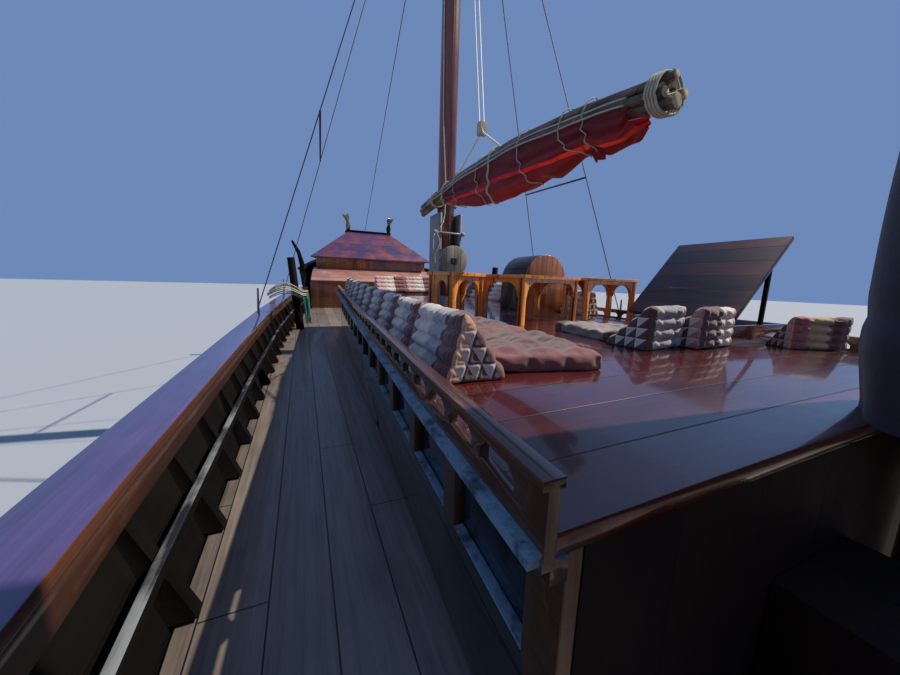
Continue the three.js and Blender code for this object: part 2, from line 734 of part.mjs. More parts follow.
// Barrel-topped booby hatch on the roof, abaft the mast to starboard.
const HOOD = { x0: -900, x1: -200, y: -1095, half: 415, wall: 540, rise: 410 };
const hoodFoot = Math.min(roofZ(HOOD.x0, HOOD.y - HOOD.half), roofZ(HOOD.x1, HOOD.y - HOOD.half));
const hoodArc = [];
for (let i = 0; i <= 12; i++) {
  const a = (i / 12) * Math.PI;
  hoodArc.push([HOOD.y + HOOD.half * Math.cos(a), hoodFoot + HOOD.wall + HOOD.rise * Math.sin(a)]);
}
const hoodOutline = [[HOOD.y + HOOD.half, hoodFoot - 60], ...hoodArc, [HOOD.y - HOOD.half, hoodFoot - 60]];
add("roof_hood", "rail", roofFitted(plate(hoodOutline, "yz", HOOD.x0, HOOD.x1)));

// Main mast in its tabernacle on the roof, with the halyard reel on its after face.
const mastFootZ = roofZ(MAST_X, 0) + 120;
const CHEEK = { x0: MAST_X - 250, x1: MAST_X + 250, y: MAST_R + 8, thick: 60, top: 3960 };
add(
  "tabernacle",
  "grey",
  roofFitted(
    fuse([
      block(CHEEK.x0, CHEEK.x1, CHEEK.y, CHEEK.y + CHEEK.thick, 2150, CHEEK.top),
      block(CHEEK.x0, CHEEK.x1, -CHEEK.y - CHEEK.thick, -CHEEK.y, 2150, CHEEK.top),
      block(CHEEK.x0, CHEEK.x1, -CHEEK.y - 5, CHEEK.y + 5, 2150, mastFootZ - SEAT),
      block(CHEEK.x0 - 60, CHEEK.x0 + 20, -CHEEK.y - CHEEK.thick, CHEEK.y + CHEEK.thick, 2700, 3300),
      bar([MAST_X - 240, -300, 3600], [MAST_X - 240, 330, 3600], 22),
    ]),
  ),
);
function upright(points, segments, x, grow = 0) {
  const profile = points.map(([r, z]) => new THREE.Vector2(r > 0 ? r + grow : 0, z));
  return new THREE.LatheGeometry(profile, segments).rotateX(Math.PI / 2).translate(x, 0, 0);
}
// A mast with the ring that its stays hang from; grow makes the clearance cut for what touches it.
function mainMast(grow) {
  const pole = [
    [0, mastFootZ],
    [MAST_R, mastFootZ],
    [MAST_R, 8000],
    [115, 13000],
    [115, MAST_TOP_Z - 90],
    [70, MAST_TOP_Z],
    [0, MAST_TOP_Z],
  ];
  return fuse([upright(pole, 48, MAST_X, grow), hounds(MAST_X, HOUNDS_Z, 60 + grow, 175 + grow)]);
}
function hounds(x, z, half, r) {
  const ring = [
    [0, z - half],
    [r, z - half],
    [r, z + half],
    [0, z + half],
  ];
  return upright(ring, 24, x);
}
add("main_mast", "mast", mainMast(0));

const REEL = { x: CHEEK.x0 - 60, z: 3080, r: 280 };
add(
  "halyard_reel",
  "grey",
  fuse([
    bar([REEL.x - 150, 0, REEL.z], [REEL.x - 105, 0, REEL.z], REEL.r, REEL.r, 32),
    bar([REEL.x - 110, 0, REEL.z], [REEL.x - 40, 0, REEL.z], 90, 90, 20),
    bar([REEL.x - 45, 0, REEL.z], [REEL.x - SEAT, 0, REEL.z], 200, 200, 24),
    block(REEL.x - 175, REEL.x - 145, -55, 55, REEL.z - 55, REEL.z + 55),
  ]),
);

// Mizzen mast aft of the roof, its sail furled round it inside a canvas cover.
const mizzenFootZ = deckZ(MIZZEN_X) + SEAT;
function mizzenMast(grow) {
  const pole = [
    [0, mizzenFootZ - 20],
    [MIZZEN_R, mizzenFootZ - 20],
    [MIZZEN_R, 6500],
    [90, MIZZEN_TOP_Z - 70],
    [50, MIZZEN_TOP_Z],
    [0, MIZZEN_TOP_Z],
  ];
  return fuse([upright(pole, 20, MIZZEN_X, grow), hounds(MIZZEN_X, MIZZEN_HOUNDS_Z, 50 + grow, 145 + grow)]);
}
add("mizzen_mast", "mast", deckFitted(mizzenMast(0)));
// z: height; dy: how far the middle of the furled sail lies to port; fore, wide: its half breadths
const COVER = [
  { z: 2240, dy: 215, fore: 290, wide: 415 },
  { z: 2480, dy: 220, fore: 320, wide: 450 },
  { z: 3500, dy: 200, fore: 315, wide: 430 },
  { z: 4700, dy: 150, fore: 290, wide: 370 },
  { z: 5900, dy: 70, fore: 240, wide: 280 },
  { z: 6350, dy: 20, fore: 185, wide: 190 },
];
const COVER_SIDES = 24;
const coverRings = COVER.map((c) =>
  Array.from({ length: COVER_SIDES }, (_, i) => {
    const a = (i / COVER_SIDES) * 2 * Math.PI;
    return [MIZZEN_X - 15 + c.fore * Math.cos(a), c.dy + c.wide * Math.sin(a), c.z];
  }),
);
add("mizzen_cover", "canvas", cut(stack(coverRings), [mizzenMast(SEAT)]));

// Furled main sail on the port side of the mast: bunched spars with the cloth hanging under them.
const BUNDLE = { x0: -3850, x1: 1250, y: 330 };
// x, z: the line of the lowest spar, bowed up in the middle by the halyard
const BOW = [
  { x: -3850, z: 3905 },
  { x: -3400, z: 3990 },
  { x: -3000, z: 4055 },
  { x: -2000, z: 4155 },
  { x: -650, z: 4165 },
  { x: 300, z: 4100 },
  { x: 1250, z: 4015 },
];
function bundleZ(x) {
  const i = Math.max(1, BOW.findIndex((p) => p.x >= x));
  const [a, b] = [BOW[i - 1], BOW[i]];
  return a.z + ((b.z - a.z) * (x - a.x)) / (b.x - a.x);
}
// The spars' after ends stand apart a little where they are lashed to each other.
const SPLAY = { from: -3400, most: 0.12 };
function splay(x) {
  return 1 + SPLAY.most * Math.max(0, (SPLAY.from - x) / (SPLAY.from - BUNDLE.x0));
}
// dy, dz: place beside the bundle's line; r: radius; fore, aft: how far the spar is cut back at each end
const SPARS = [
  { dy: 0, dz: 0, r: 50, fore: 0, aft: 0 },
  { dy: 60, dz: 40, r: 36, fore: 60, aft: 40 },
  { dy: -58, dz: 45, r: 36, fore: 120, aft: 0 },
  { dy: 20, dz: 85, r: 34, fore: 30, aft: 90 },
  { dy: -35, dz: 105, r: 32, fore: 160, aft: 50 },
  { dy: 62, dz: 108, r: 30, fore: 90, aft: 130 },
  { dy: 5, dz: 140, r: 28, fore: 0, aft: 20 },
];
const SPAR_SIDES = 10;
function spars(grow) {
  return SPARS.map((s) => {
    const inner = BOW.map((p) => p.x).slice(1, -1);
    const xs = [BUNDLE.x0 + s.aft, ...inner, BUNDLE.x1 - s.fore];
    return loft(
      xs.map((x) =>
        Array.from({ length: SPAR_SIDES }, (_, i) => {
          const a = (i / SPAR_SIDES) * 2 * Math.PI;
          const y = BUNDLE.y + s.dy * splay(x) + (s.r + grow) * Math.cos(a);
          return [x, y, bundleZ(x) + s.dz * splay(x) + (s.r + grow) * Math.sin(a)];
        }),
      ),
    );
  });
}
const PARREL = { z: 4130, inner: MAST_R + 0.95, outer: MAST_R + 40 };
const parrel = upright(
  [
    [PARREL.inner, PARREL.z - 25],
    [PARREL.outer, PARREL.z - 25],
    [PARREL.outer, PARREL.z + 25],
    [PARREL.inner, PARREL.z + 25],
    [PARREL.inner, PARREL.z - 25],
  ],
  48,
  MAST_X,
);
const parrelArm = block(MAST_X - 40, MAST_X + 40, 185, 330, PARREL.z - 20, PARREL.z + 20);
add("main_spars", "bamboo", fuse([...spars(0), parrelArm, parrel]));

const CLOTH_LAP = 30; // how far the cloth comes up beside the lowest spars
const clothSection = (x, drop, half) => {
  const top = bundleZ(x) + CLOTH_LAP;
  return [
    [x, BUNDLE.y + half, top - 20],
    [x, BUNDLE.y + half * 0.9, top - drop * 0.7],
    [x, BUNDLE.y + half * 0.2, top - drop],
    [x, BUNDLE.y - half * 0.8, top - drop * 0.75],
    [x, BUNDLE.y - half, top - 20],
    [x, BUNDLE.y - half * 0.9, top],
    [x, BUNDLE.y + half * 0.9, top],
  ];
};
// x: place along the bundle; drop: depth of the cloth; half: half width
const CLOTH = [
  { x: 10, drop: 190, half: 112 },
  { x: -420, drop: 365, half: 135 },
  { x: -1420, drop: 440, half: 145 },
  { x: -2130, drop: 455, half: 145 },
  { x: -2570, drop: 365, half: 135 },
  { x: -3060, drop: 275, half: 130 },
  { x: -3460, drop: 265, half: 130 },
  { x: -3570, drop: 150, half: 130 },
];
const cloth = loft(CLOTH.map((c) => clothSection(c.x, c.drop, c.half)).reverse());
add("main_sail", "sail", cut(cloth, spars(SEAT)));

// Halyard: two falls from the masthead to a block, and a sling from the block down to the spars.
const HALYARD = { topX: 720, topZ: 12950, blockX: -980, blockZ: 4800, y: 250, sling: [-1690, -300] };
const falls = [-35, 35].map((dy) =>
  bar(
    [HALYARD.topX, HALYARD.y / 2 + dy, HALYARD.topZ],
    [HALYARD.blockX, HALYARD.y + dy, HALYARD.blockZ],
    10,
    10,
    6,
  ),
);
const slings = HALYARD.sling.map((x) =>
  bar([HALYARD.blockX, HALYARD.y, HALYARD.blockZ - 40], [x, BUNDLE.y, bundleZ(x) + 150], 14, 14, 6),
);
// A block's shell: its half lengths along and across the boat, and how far it goes below and above its place.
function shell(x, y, z, half, wide, low, high) {
  return block(x - half, x + half, y - wide, y + wide, z + low, z + high);
}
add(
  "main_halyard",
  "cream",
  cut(
    fuse([
      ...falls,
      ...slings,
      shell(HALYARD.blockX, HALYARD.y, HALYARD.blockZ, 45, 55, -90, 70),
      shell(HALYARD.topX - 8, 125, HALYARD.topZ, 32, 55, -60, 60),
    ]),
    spars(SEAT),
  ),
);

// Standing rigging. The two main shrouds on a side are joined by a bar at head height.
function shroud(x, side, mast, top) {
  const footY = station(x, "deck") + 190;
  const footZ = capZ(x) + SEAT;
  const lean = x > mast.x ? 20 : -20;
  return {
    from: [x, side * footY, footZ + 80],
    to: [mast.x + lean, side * mast.r, top - 1],
    screw: bar([x, side * footY, footZ - 15], [x, side * (footY - 12), footZ + 420], 20, 15, 8),
  };
}
// What stands on the cap rail is cut to its top.
function capFitted(shape, side) {
  const under = strip(stationsBetween(STERN_X, FORE_X + 60), side, (x) => {
    const inner = station(x, "deck") - 200;
    return [
      [inner, DECK_Z],
      [inner + 900, DECK_Z],
      [inner + 900, capZ(x) + SEAT],
      [inner, capZ(x) + SEAT],
    ];
  });
  return cut(shape, [under]);
}
function along(line, z) {
  const t = (z - line.from[2]) / (line.to[2] - line.from[2]);
  return line.from.map((v, i) => v + (line.to[i] - v) * t);
}
const WIRE_R = 9;
// x: where the forward and after shroud of a side stand; barZ: heights of the bar's ends on them
const MAIN_SHROUDS = {
  port: { x: [4720, 1220], barZ: [5380, 5460] },
  stbd: { x: [2050, -500], barZ: [4820, 4760] },
};
const MIZZEN_SHROUD_X = -6400;
for (const [word, side] of SIDES) {
  const { x: feet, barZ } = MAIN_SHROUDS[word];
  const pair = feet.map((x) => shroud(x, side, { x: MAST_X, r: 110 }, HOUNDS_Z - 62));
  add(
    `shrouds_main_${word}`,
    "steel",
    cut(
      capFitted(
        fuse([
          ...pair.flatMap((w) => [bar(w.from, w.to, WIRE_R, WIRE_R, 6), w.screw]),
          bar(along(pair[0], barZ[0]), along(pair[1], barZ[1]), 18, 18, 8),
        ]),
        side,
      ),
      [mainMast(SEAT)],
    ),
  );
  const aft = shroud(MIZZEN_SHROUD_X, side, { x: MIZZEN_X, r: 80 }, MIZZEN_HOUNDS_Z - 58);
  const wire = capFitted(fuse([bar(aft.from, aft.to, WIRE_R, WIRE_R, 6), aft.screw]), side);
  add(`shroud_mizzen_${word}`, "steel", cut(wire, [mizzenMast(SEAT)]));
}
const STEM_X = 11620;
add(
  "forestay",
  "steel",
  cut(
    fuse([
      bar([STEM_X - 40, 0, 3815], [MAST_X + 90, 0, HOUNDS_Z - 110], 10, 10, 6),
      bar([STEM_X, 0, 3785], [STEM_X - 290, 0, 4001], 28, 22, 8),
    ]),
    [mainMast(SEAT), block(STEM_X - 400, STEM_X + 400, -100, 100, 3000, 3758 + SEAT)],
  ),
);

// Forecastle: bulkhead and ledge, a sloping foredeck, and a low house with a hipped roof.
const BOW_DECK = [FORE_X, 8000, 9500, 10500, BOW_X - 90];
const insideHalf = (x) => station(x, "deck") - PLANK_T - 6;
add(
  "fore_bulkhead",
  "orange",
  deckFitted(
    fuse([
    block(
      FORE_X,
      FORE_X + 50,
      -insideHalf(FORE_X + 50),
      insideHalf(FORE_X + 50),
      DECK_Z,
      FORE_LEDGE_Z + 5,
    ),
    block(
      FORE_X - 110,
      FORE_X + 180,
      -insideHalf(FORE_X + 180),
      insideHalf(FORE_X + 180),
      FORE_LEDGE_Z,
      FORE_LEDGE_Z + 55,
    ),
    ]),
  ),
);
const FORE_DECK_Z = [
  [FORE_X + 180 + SEAT, FORE_LEDGE_Z + 60],
  [8000, 2900],
  [8300, 3080],
  [9500, 3080],
  [10500, 3080],
  [BOW_X - 60, 3080],
];
const foreDeckBody = loft(
  FORE_DECK_Z.map(([x, z]) => {
    const y = insideHalf(x);
    const low = DECK_Z + 200;
    return [
      [x, y, low],
      [x, y, z],
      [x, -y, z],
      [x, -y, low],
    ];
  }),
);
add("fore_deck", "varnish", deckFitted(foreDeckBody));

// House under the hipped roof. The eaves stand over its walls.
const FORE_ROOF = { x0: 8120, x1: 10650, eaveZ: 3430, topZ: 4590, topX0: 9250, topX1: 9750, topHalf: 850 };
const eaveHalf = (x) => insideHalf(x) + 60;
const houseX = [FORE_ROOF.x0 + 160, 9500, 10500];
add(
  "fore_house",
  "orange",
  loft(
    houseX.map((x) => {
      const y = insideHalf(x) - 90;
      return [
        [x, y, 3080 + SEAT],
        [x, y, FORE_ROOF.eaveZ - SEAT],
        [x, -y, FORE_ROOF.eaveZ - SEAT],
        [x, -y, 3080 + SEAT],
      ];
    }),
  ),
);
const eaves = [FORE_ROOF.x0, 9500, FORE_ROOF.x1];
const eaveRing = (z) => [
  ...eaves.map((x) => [x, eaveHalf(x), z]),
  ...eaves.map((x) => [x, -eaveHalf(x), z]).reverse(),
];
const topRing = [
  [FORE_ROOF.topX0, FORE_ROOF.topHalf, FORE_ROOF.topZ],
  [9500, FORE_ROOF.topHalf, FORE_ROOF.topZ],
  [FORE_ROOF.topX1, FORE_ROOF.topHalf, FORE_ROOF.topZ],
  [FORE_ROOF.topX1, -FORE_ROOF.topHalf, FORE_ROOF.topZ],
  [9500, -FORE_ROOF.topHalf, FORE_ROOF.topZ],
  [FORE_ROOF.topX0, -FORE_ROOF.topHalf, FORE_ROOF.topZ],
];
add("fore_roof", "varnish", stack([eaveRing(FORE_ROOF.eaveZ), eaveRing(FORE_ROOF.eaveZ + 50), topRing]));

// Top board of the roof with a carved finial standing at each end, its tip turned up and out.
const FINIAL = [
  [-60, -5],
  [60, -5],
  [90, 160],
  [60, 330],
  [150, 470],
  [230, 620],
  [110, 560],
  [0, 640],
  [-60, 500],
  [-20, 350],
  [-90, 180],
];
const ridgeTop = FORE_ROOF.topZ + 60;
const finials = SIDES.map(([, side]) => {
  const y = side * (FORE_ROOF.topHalf - 20);
  const outline = FINIAL.map(([u, v]) => [y + side * u, ridgeTop + v]);
  return plate(outline, "yz", FORE_ROOF.topX0 + 40, FORE_ROOF.topX0 + 130);
});
const ridgeHalf = FORE_ROOF.topHalf + 60;
add(
  "fore_ridge",
  "black",
  fuse([
    block(
      FORE_ROOF.topX0 - 40,
      FORE_ROOF.topX1 + 40,
      -ridgeHalf,
      ridgeHalf,
      FORE_ROOF.topZ + SEAT,
      ridgeTop,
    ),
    ...finials,
  ]),
);

// Raised bulwarks round the bow, with a curved horn at each after end, closed by a bow board.
const BOW_CAP_Z = (x) => 2950 + (650 * (x - FORE_X)) / (BOW_X - FORE_X);
const BOW_T = 60;
const bowXs = [FORE_X + 75, 8000, 9500, 10500, BOW_X + 30];
const bowSides = SIDES.map(([, side]) => {
  const boards = strip(bowXs, side, (x) => {
    const low = capZ(x) - CAP_T + SEAT;
    const y = bulwarkY(x, low);
    return [
      [y - BOW_T, low],
      [y, low],
      [y + 90, BOW_CAP_Z(x)],
      [y + 90 - BOW_T, BOW_CAP_Z(x)],
    ];
  });
  const cap = strip(bowXs, side, (x) => {
    const y = bulwarkY(x, capZ(x) - CAP_T) + 90;
    return [
      [y - 150, BOW_CAP_Z(x) - 5],
      [y + 50, BOW_CAP_Z(x) - 5],
      [y + 50, BOW_CAP_Z(x) + 50],
      [y - 150, BOW_CAP_Z(x) + 50],
    ];
  });
  const hornY = bulwarkY(FORE_X + 200, capZ(FORE_X + 200)) + 20;
  const horn = plate(
    [
      [hornY - 130, 2700],
      [hornY + 10, 2700],
      [hornY + 60, 3100],
      [hornY + 130, 3500],
      [hornY + 300, 3900],
      [hornY + 250, 3950],
      [hornY + 30, 3600],
      [hornY - 90, 3200],
    ].map(([y, z]) => [side * y, z]),
    "yz",
    FORE_X + 130,
    FORE_X + 230,
  );
  return fuse([boards, cap, horn]);
});
const bowHalf = bulwarkY(BOW_X, capZ(BOW_X));
add(
  "bow_bulwark",
  "black",
  fuse([
    ...bowSides,
    plate(
      [
        [-bowHalf + 60, deckZ(BOW_X)],
        [bowHalf - 60, deckZ(BOW_X)],
        [bowHalf + 60, BOW_CAP_Z(BOW_X) + 60],
        [0, BOW_CAP_Z(BOW_X) + 160],
        [-bowHalf - 60, BOW_CAP_Z(BOW_X) + 60],
      ],
      "yz",
      BOW_X + SEAT,
      BOW_X + 70,
    ),
    plate(
      [
        [BOW_X + 10, 1350],
        [BOW_X + 260, 2600],
        [STEM_X + 90, 3758],
        [STEM_X - 110, 3758],
        [BOW_X + 40, 2600],
        [BOW_X + 5, 2000],
      ],
      "xz",
      -95,
      95,
    ),
  ]),
);

// Bitts: round posts leaning out with the bulwark, one on each side of the waist.
const BITT = { x: 3700, y0: 2700, y1: 2850, r: 95, height: 1740 };
function bittPost(side, grow) {
  const foot = deckZ(BITT.x) - 55;
  const head = foot + BITT.height + 60;
  const r = BITT.r + grow;
  return bar([BITT.x, side * BITT.y0, foot], [BITT.x, side * BITT.y1, head], r, r * 0.9, 24);
}
for (const [word, side] of SIDES) add(`bitt_${word}`, "black", deckFitted(bittPost(side, 0)));

// Rope kept on the port bitt: a cream coil dropped over the post and lying on the cap rail, and a teal
// hank hung on the post's inner side.
function ropeRing(rx, rz, tube, thick, turn, centre) {
  const g = new THREE.TorusGeometry(rx, tube, 8, 28);
  g.scale(1, rz / rx, thick);
  return g.rotateX(turn).translate(...centre);
}
const coil = ropeRing(215, 350, 55, 1.9, 0, [BITT.x, 2895, capZ(BITT.x) + 95]);
const besidePost = cut(coil, [bittPost(1, 0.4)]);
add("rope_coil", "cream", capFitted(besidePost, 1));
const hank = ropeRing(85, 200, 38, 1, Math.PI / 2 - 0.083, [BITT.x - 30, 2612, 1850]);
add("rope_hank", "teal", cut(hank, [bittPost(1, 0.4)]));

// Poop: raised after part with its bulkhead, deck, side boards, stern board and steps.
const poopX = [STERN_X + 70, -10000, -8500, POOP_X];
const poopHalf = (x) => station(x, "deck") - PLANK_T - 6;
const poopBody = loft(
  poopX.map((x) => {
    const y = poopHalf(x);
    return [
      [x, y, DECK_Z],
      [x, y, POOP_Z - 40 - SEAT],
      [x, -y, POOP_Z - 40 - SEAT],
      [x, -y, DECK_Z],
    ];
  }),
);
add("poop_block", "rail", deckFitted(poopBody));
add(
  "poop_deck",
  "deck",
  loft(
    [...poopX.slice(0, 3), POOP_X + 60].map((x) => {
      const y = poopHalf(Math.min(x, POOP_X));
      return [
        [x, y, POOP_Z - 40],
        [x, y, POOP_Z],
        [x, -y, POOP_Z],
        [x, -y, POOP_Z - 40],
      ];
    }),
  ),
);
const QUARTER_CAP = 2950;
const quarters = SIDES.map(([, side]) => {
  const xs = [STERN_X - 40, -10000, -8500, POOP_X - 30];
  const boards = strip(xs, side, (x) => {
    const low = capZ(x) + SEAT;
    const y = bulwarkY(x, low) - 10;
    return [
      [y - BOW_T, low],
      [y, low],
      [y + 70, QUARTER_CAP + sheer(x)],
      [y + 70 - BOW_T, QUARTER_CAP + sheer(x)],
    ];
  });
  const cap = strip(xs, side, (x) => {
    const y = bulwarkY(x, capZ(x)) + 60;
    const z = QUARTER_CAP + sheer(x);
    return [
      [y - 150, z - 5],
      [y + 60, z - 5],
      [y + 60, z + 50],
      [y - 150, z + 50],
    ];
  });
  return fuse([boards, cap]);
});
const sternHalf = bulwarkY(STERN_X, capZ(STERN_X));
add(
  "poop_bulwark",
  "varnish",
  fuse([
    ...quarters,
    plate(
      [
        [-2300, 1300],
        [2300, 1300],
        [sternHalf + 110, QUARTER_CAP + sheer(STERN_X) + 60],
        [sternHalf * 0.5, QUARTER_CAP + sheer(STERN_X) + 260],
        [-sternHalf * 0.5, QUARTER_CAP + sheer(STERN_X) + 260],
        [-sternHalf - 110, QUARTER_CAP + sheer(STERN_X) + 60],
      ],
      "yz",
      STERN_X - 70,
      STERN_X - SEAT,
    ),
  ]),
);
const STEPS = { y0: 1500, y1: 2200, count: 3, run: 230 };
const treads = [];
for (let i = 0; i < STEPS.count; i++) {
  const top = DECK_Z + ((POOP_Z - DECK_Z) * (i + 1)) / (STEPS.count + 1);
  const x = POOP_X + SEAT + 62 + STEPS.run * (STEPS.count - 1 - i);
  treads.push(block(POOP_X + SEAT, x + STEPS.run, STEPS.y0, STEPS.y1, top - 40, top));
}
const stepsFore = POOP_X + 60 + STEPS.run * STEPS.count;
treads.push(block(POOP_X + SEAT, stepsFore, STEPS.y0 - 40, STEPS.y0 + 5, DECK_Z, 1460));
treads.push(block(POOP_X + SEAT, stepsFore, STEPS.y1 - 5, STEPS.y1 + 40, DECK_Z, 1460));
treads.push(block(POOP_X + SEAT, POOP_X + 40, STEPS.y0 - 40, STEPS.y1 + 40, 1400, POOP_Z - 60));
add("poop_steps", "rail", deckFitted(fuse(treads)));

// Helm on the poop: a pedestal and a spoked wheel facing forward.
const HELM = { x: -8400, y: 0, z: POOP_Z + 900, r: 430 };
const SPOKE = HELM.r + 130; // centre to a handle's tip
add(
  "helm_pedestal",
  "varnish",
  fuse([
    block(HELM.x - 130, HELM.x + 130, -150, 150, POOP_Z + SEAT, POOP_Z + 760),
    block(HELM.x - 100, HELM.x + 100, -110, 110, POOP_Z + 750, HELM.z + 110),
  ]),
);
const wheelX = HELM.x - 100 - 70;
const spokes = [];
for (let i = 0; i < 8; i++) {
  const a = (i / 8) * 2 * Math.PI;
  spokes.push(
    bar([wheelX, 0, HELM.z], [wheelX, SPOKE * Math.cos(a), HELM.z + SPOKE * Math.sin(a)], 20, 14, 6),
  );
}
const rim = new THREE.LatheGeometry(
  [
    [HELM.r - 35, -18],
    [HELM.r + 25, -18],
    [HELM.r + 25, 18],
    [HELM.r - 35, 18],
    [HELM.r - 35, -18],
  ].map(([r, z]) => new THREE.Vector2(r, z)),
  32,
)
  .rotateZ(Math.PI / 2)
  .translate(wheelX, 0, HELM.z);
const nave = bar([wheelX - 40, 0, HELM.z], [HELM.x - 100 - SEAT, 0, HELM.z], 70, 60, 16);
add("helm_wheel", "varnish", fuse([rim, nave, ...spokes]));

// Rudder hung on the stern post's gudgeons; its blade is notched round them.
const RUDDER = [
  [RUDDER_X, 1100],
  [RUDDER_X, -1440],
  [RUDDER_X - 1250, -1330],
  [RUDDER_X - 1150, -200],
  [RUDDER_X - 620, 500],
  [RUDDER_X - 560, 1250],
  [RUDDER_X - 40, 1360],
];
const notches = GUDGEON.zs.slice(1).map((z) =>
  cut(block(RUDDER_X - GUDGEON.r - 12, RUDDER_X + 200, -150, 150, z - 8, z + GUDGEON.height + 8), [
    bar([RUDDER_X, 0, z - 20], [RUDDER_X, 0, z + GUDGEON.height + 20], STOCK_R, STOCK_R, 20),
  ]),
);
add(
  "rudder",
  "hull",
  cut(
    fuse([
      plate(RUDDER, "xz", -45, 45),
      bar([RUDDER_X, 0, -1462], [RUDDER_X, 0, 1500], STOCK_R, STOCK_R, 20),
      bar([RUDDER_X, 0, -1510], [RUDDER_X, 0, -1450], 40, 40, 20),
    ]),
    notches,
  ),
);

// Propeller in the keel's aperture on its shaft.
const PROP = { x: -9550, z: -950, r: 370 };
const blades = [];
for (let i = 0; i < 4; i++) {
  blades.push(
    new THREE.BoxGeometry(40, 190, PROP.r - 40)
      .translate(0, 0, PROP.r / 2 + 20)
      .rotateZ(THREE.MathUtils.degToRad(35))
      .rotateX((i * Math.PI) / 2)
      .translate(PROP.x, 0, PROP.z),
  );
}
add(
  "propeller",
  "bronze",
  fuse([bar([PROP.x - 110, 0, PROP.z], [APERTURE.x1 - SEAT, 0, PROP.z], 60, 60, 16), ...blades]),
);

// Cushions for the sun deck: three-sided back cushions in rows along the rails and across the fore end, some
// with fold-out mats before them.
const ROW = { x0: -3980, x1: 3550, height: 355, depth: 440 };
const MAT_T = 100;
const UNDER_ROOF = 2100; // low enough to be cut off by the roof
function rowBack(x) {
  return 2020 - 0.0432 * (x + 5000);
}
// A back cushion's outline across its run: its upright back first, leaning over the seat.
function wedge(x, y, back, depth, height) {
  const foot = roofZ(x, y);
  return [
    [back, UNDER_ROOF],
    [back, foot + height * 0.2],
    [back - depth * 0.2, foot + height * 0.8],
    [back - depth * 0.3, foot + height],
    [back - depth * 0.55, foot + height],
    [back - depth, foot + height * 0.2],
    [back - depth, UNDER_ROOF],
  ];
}
function cushionRow(x0, x1, side, depth) {
  const xs = [x0, x0 + (x1 - x0) / 3, x0 + (2 * (x1 - x0)) / 3, x1];
  return loft(
    xs.map((x) =>
      wedge(x, rowBack(x), rowBack(x), depth, ROW.height).map(([y, z]) => [x, side * y, z]),
    ),
  );
}
const nearMat = block(-4060, -2300, 760, 1570, UNDER_ROOF, roofZ(-3000, 1200) + MAT_T);
add("cushions_port", "cushion", roofFitted(fuse([cushionRow(ROW.x0, ROW.x1, 1, ROW.depth), nearMat])));

// y0, y1: its ends; x: its after face at each end; front, mat: how far it and its mat reach forward
function crossPair(c) {
  const place = ([y, x]) => [
    [x, y, UNDER_ROOF],
    [x, y, roofZ(x, y) + c.height],
    [x + 140, y, roofZ(x, y) + c.height],
    [x + c.front, y, roofZ(x, y) + 70],
    [x + c.front, y, UNDER_ROOF],
  ];
  return loft(c.ends.map(place), ([x, , z]) => [x, z]);
}
const MID = { ends: [[-930, -3880], [-370, -3825], [150, -3730]], front: 400, height: 355 };
const midMat = block(-3460, -2580, -420, 130, UNDER_ROOF, roofZ(-3000, 0) + MAT_T);
add("cushions_mid", "cushion", roofFitted(fuse([crossPair(MID), midMat])));

const STBD = { ends: [[-1960, -4160], [-1440, -3960]], front: 235, height: 300 };
add("cushion_stbd", "cushion", roofFitted(crossPair(STBD)));

const FORE = { ends: [[-1500, 3100], [900, 3100]], front: 400, height: 400 };
const stbdRow = cushionRow(-1380, 3450, -1, 290);
add("cushions_fore", "cushion", roofFitted(fuse([crossPair(FORE), stbdRow])));

export default boat;
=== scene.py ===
import bpy
import bmesh
import math
from mathutils import Matrix, Vector, noise
from mathutils.bvhtree import BVHTree


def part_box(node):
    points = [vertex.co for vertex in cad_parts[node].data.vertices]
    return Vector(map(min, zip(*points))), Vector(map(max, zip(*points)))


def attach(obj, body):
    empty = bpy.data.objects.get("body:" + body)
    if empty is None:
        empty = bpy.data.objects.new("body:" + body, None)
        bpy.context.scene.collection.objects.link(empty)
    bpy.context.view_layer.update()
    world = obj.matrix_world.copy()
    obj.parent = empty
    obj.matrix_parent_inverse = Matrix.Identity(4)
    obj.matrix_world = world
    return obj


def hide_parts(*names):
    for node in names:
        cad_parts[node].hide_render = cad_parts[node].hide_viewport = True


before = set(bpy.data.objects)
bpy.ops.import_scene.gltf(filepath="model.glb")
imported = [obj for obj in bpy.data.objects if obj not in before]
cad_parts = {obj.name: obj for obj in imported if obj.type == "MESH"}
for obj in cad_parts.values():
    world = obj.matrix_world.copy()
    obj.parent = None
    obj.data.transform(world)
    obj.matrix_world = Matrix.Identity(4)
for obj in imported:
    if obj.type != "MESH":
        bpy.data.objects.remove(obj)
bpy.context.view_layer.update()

# The view is from the port side deck, at the height of standing eyes, forward and to starboard.
# A very wide lens: 13.5 mm on a 36 mm frame, tipped down and rolled a little.
eye = Vector((-5.5, 2.6, 2.7))
yaw, pitch, roll = math.radians(23.5), math.radians(9.4), math.radians(1.75)
ahead = Vector((math.cos(yaw) * math.cos(pitch), -math.sin(yaw) * math.cos(pitch), -math.sin(pitch)))
level = Vector((-math.sin(yaw), -math.cos(yaw), 0))
upright = level.cross(ahead)
right = level * math.cos(roll) + upright * math.sin(roll)
above = upright * math.cos(roll) - level * math.sin(roll)
camera = bpy.data.objects.new("camera", bpy.data.cameras.new("camera"))
camera.data.lens = 13.52
camera.data.sensor_width = 36
camera.data.clip_start = 0.05
camera.data.clip_end = 400
camera.matrix_world = Matrix.Translation(eye) @ Matrix((right, above, -ahead)).transposed().to_4x4()
bpy.context.scene.collection.objects.link(camera)
bpy.context.scene.camera = camera


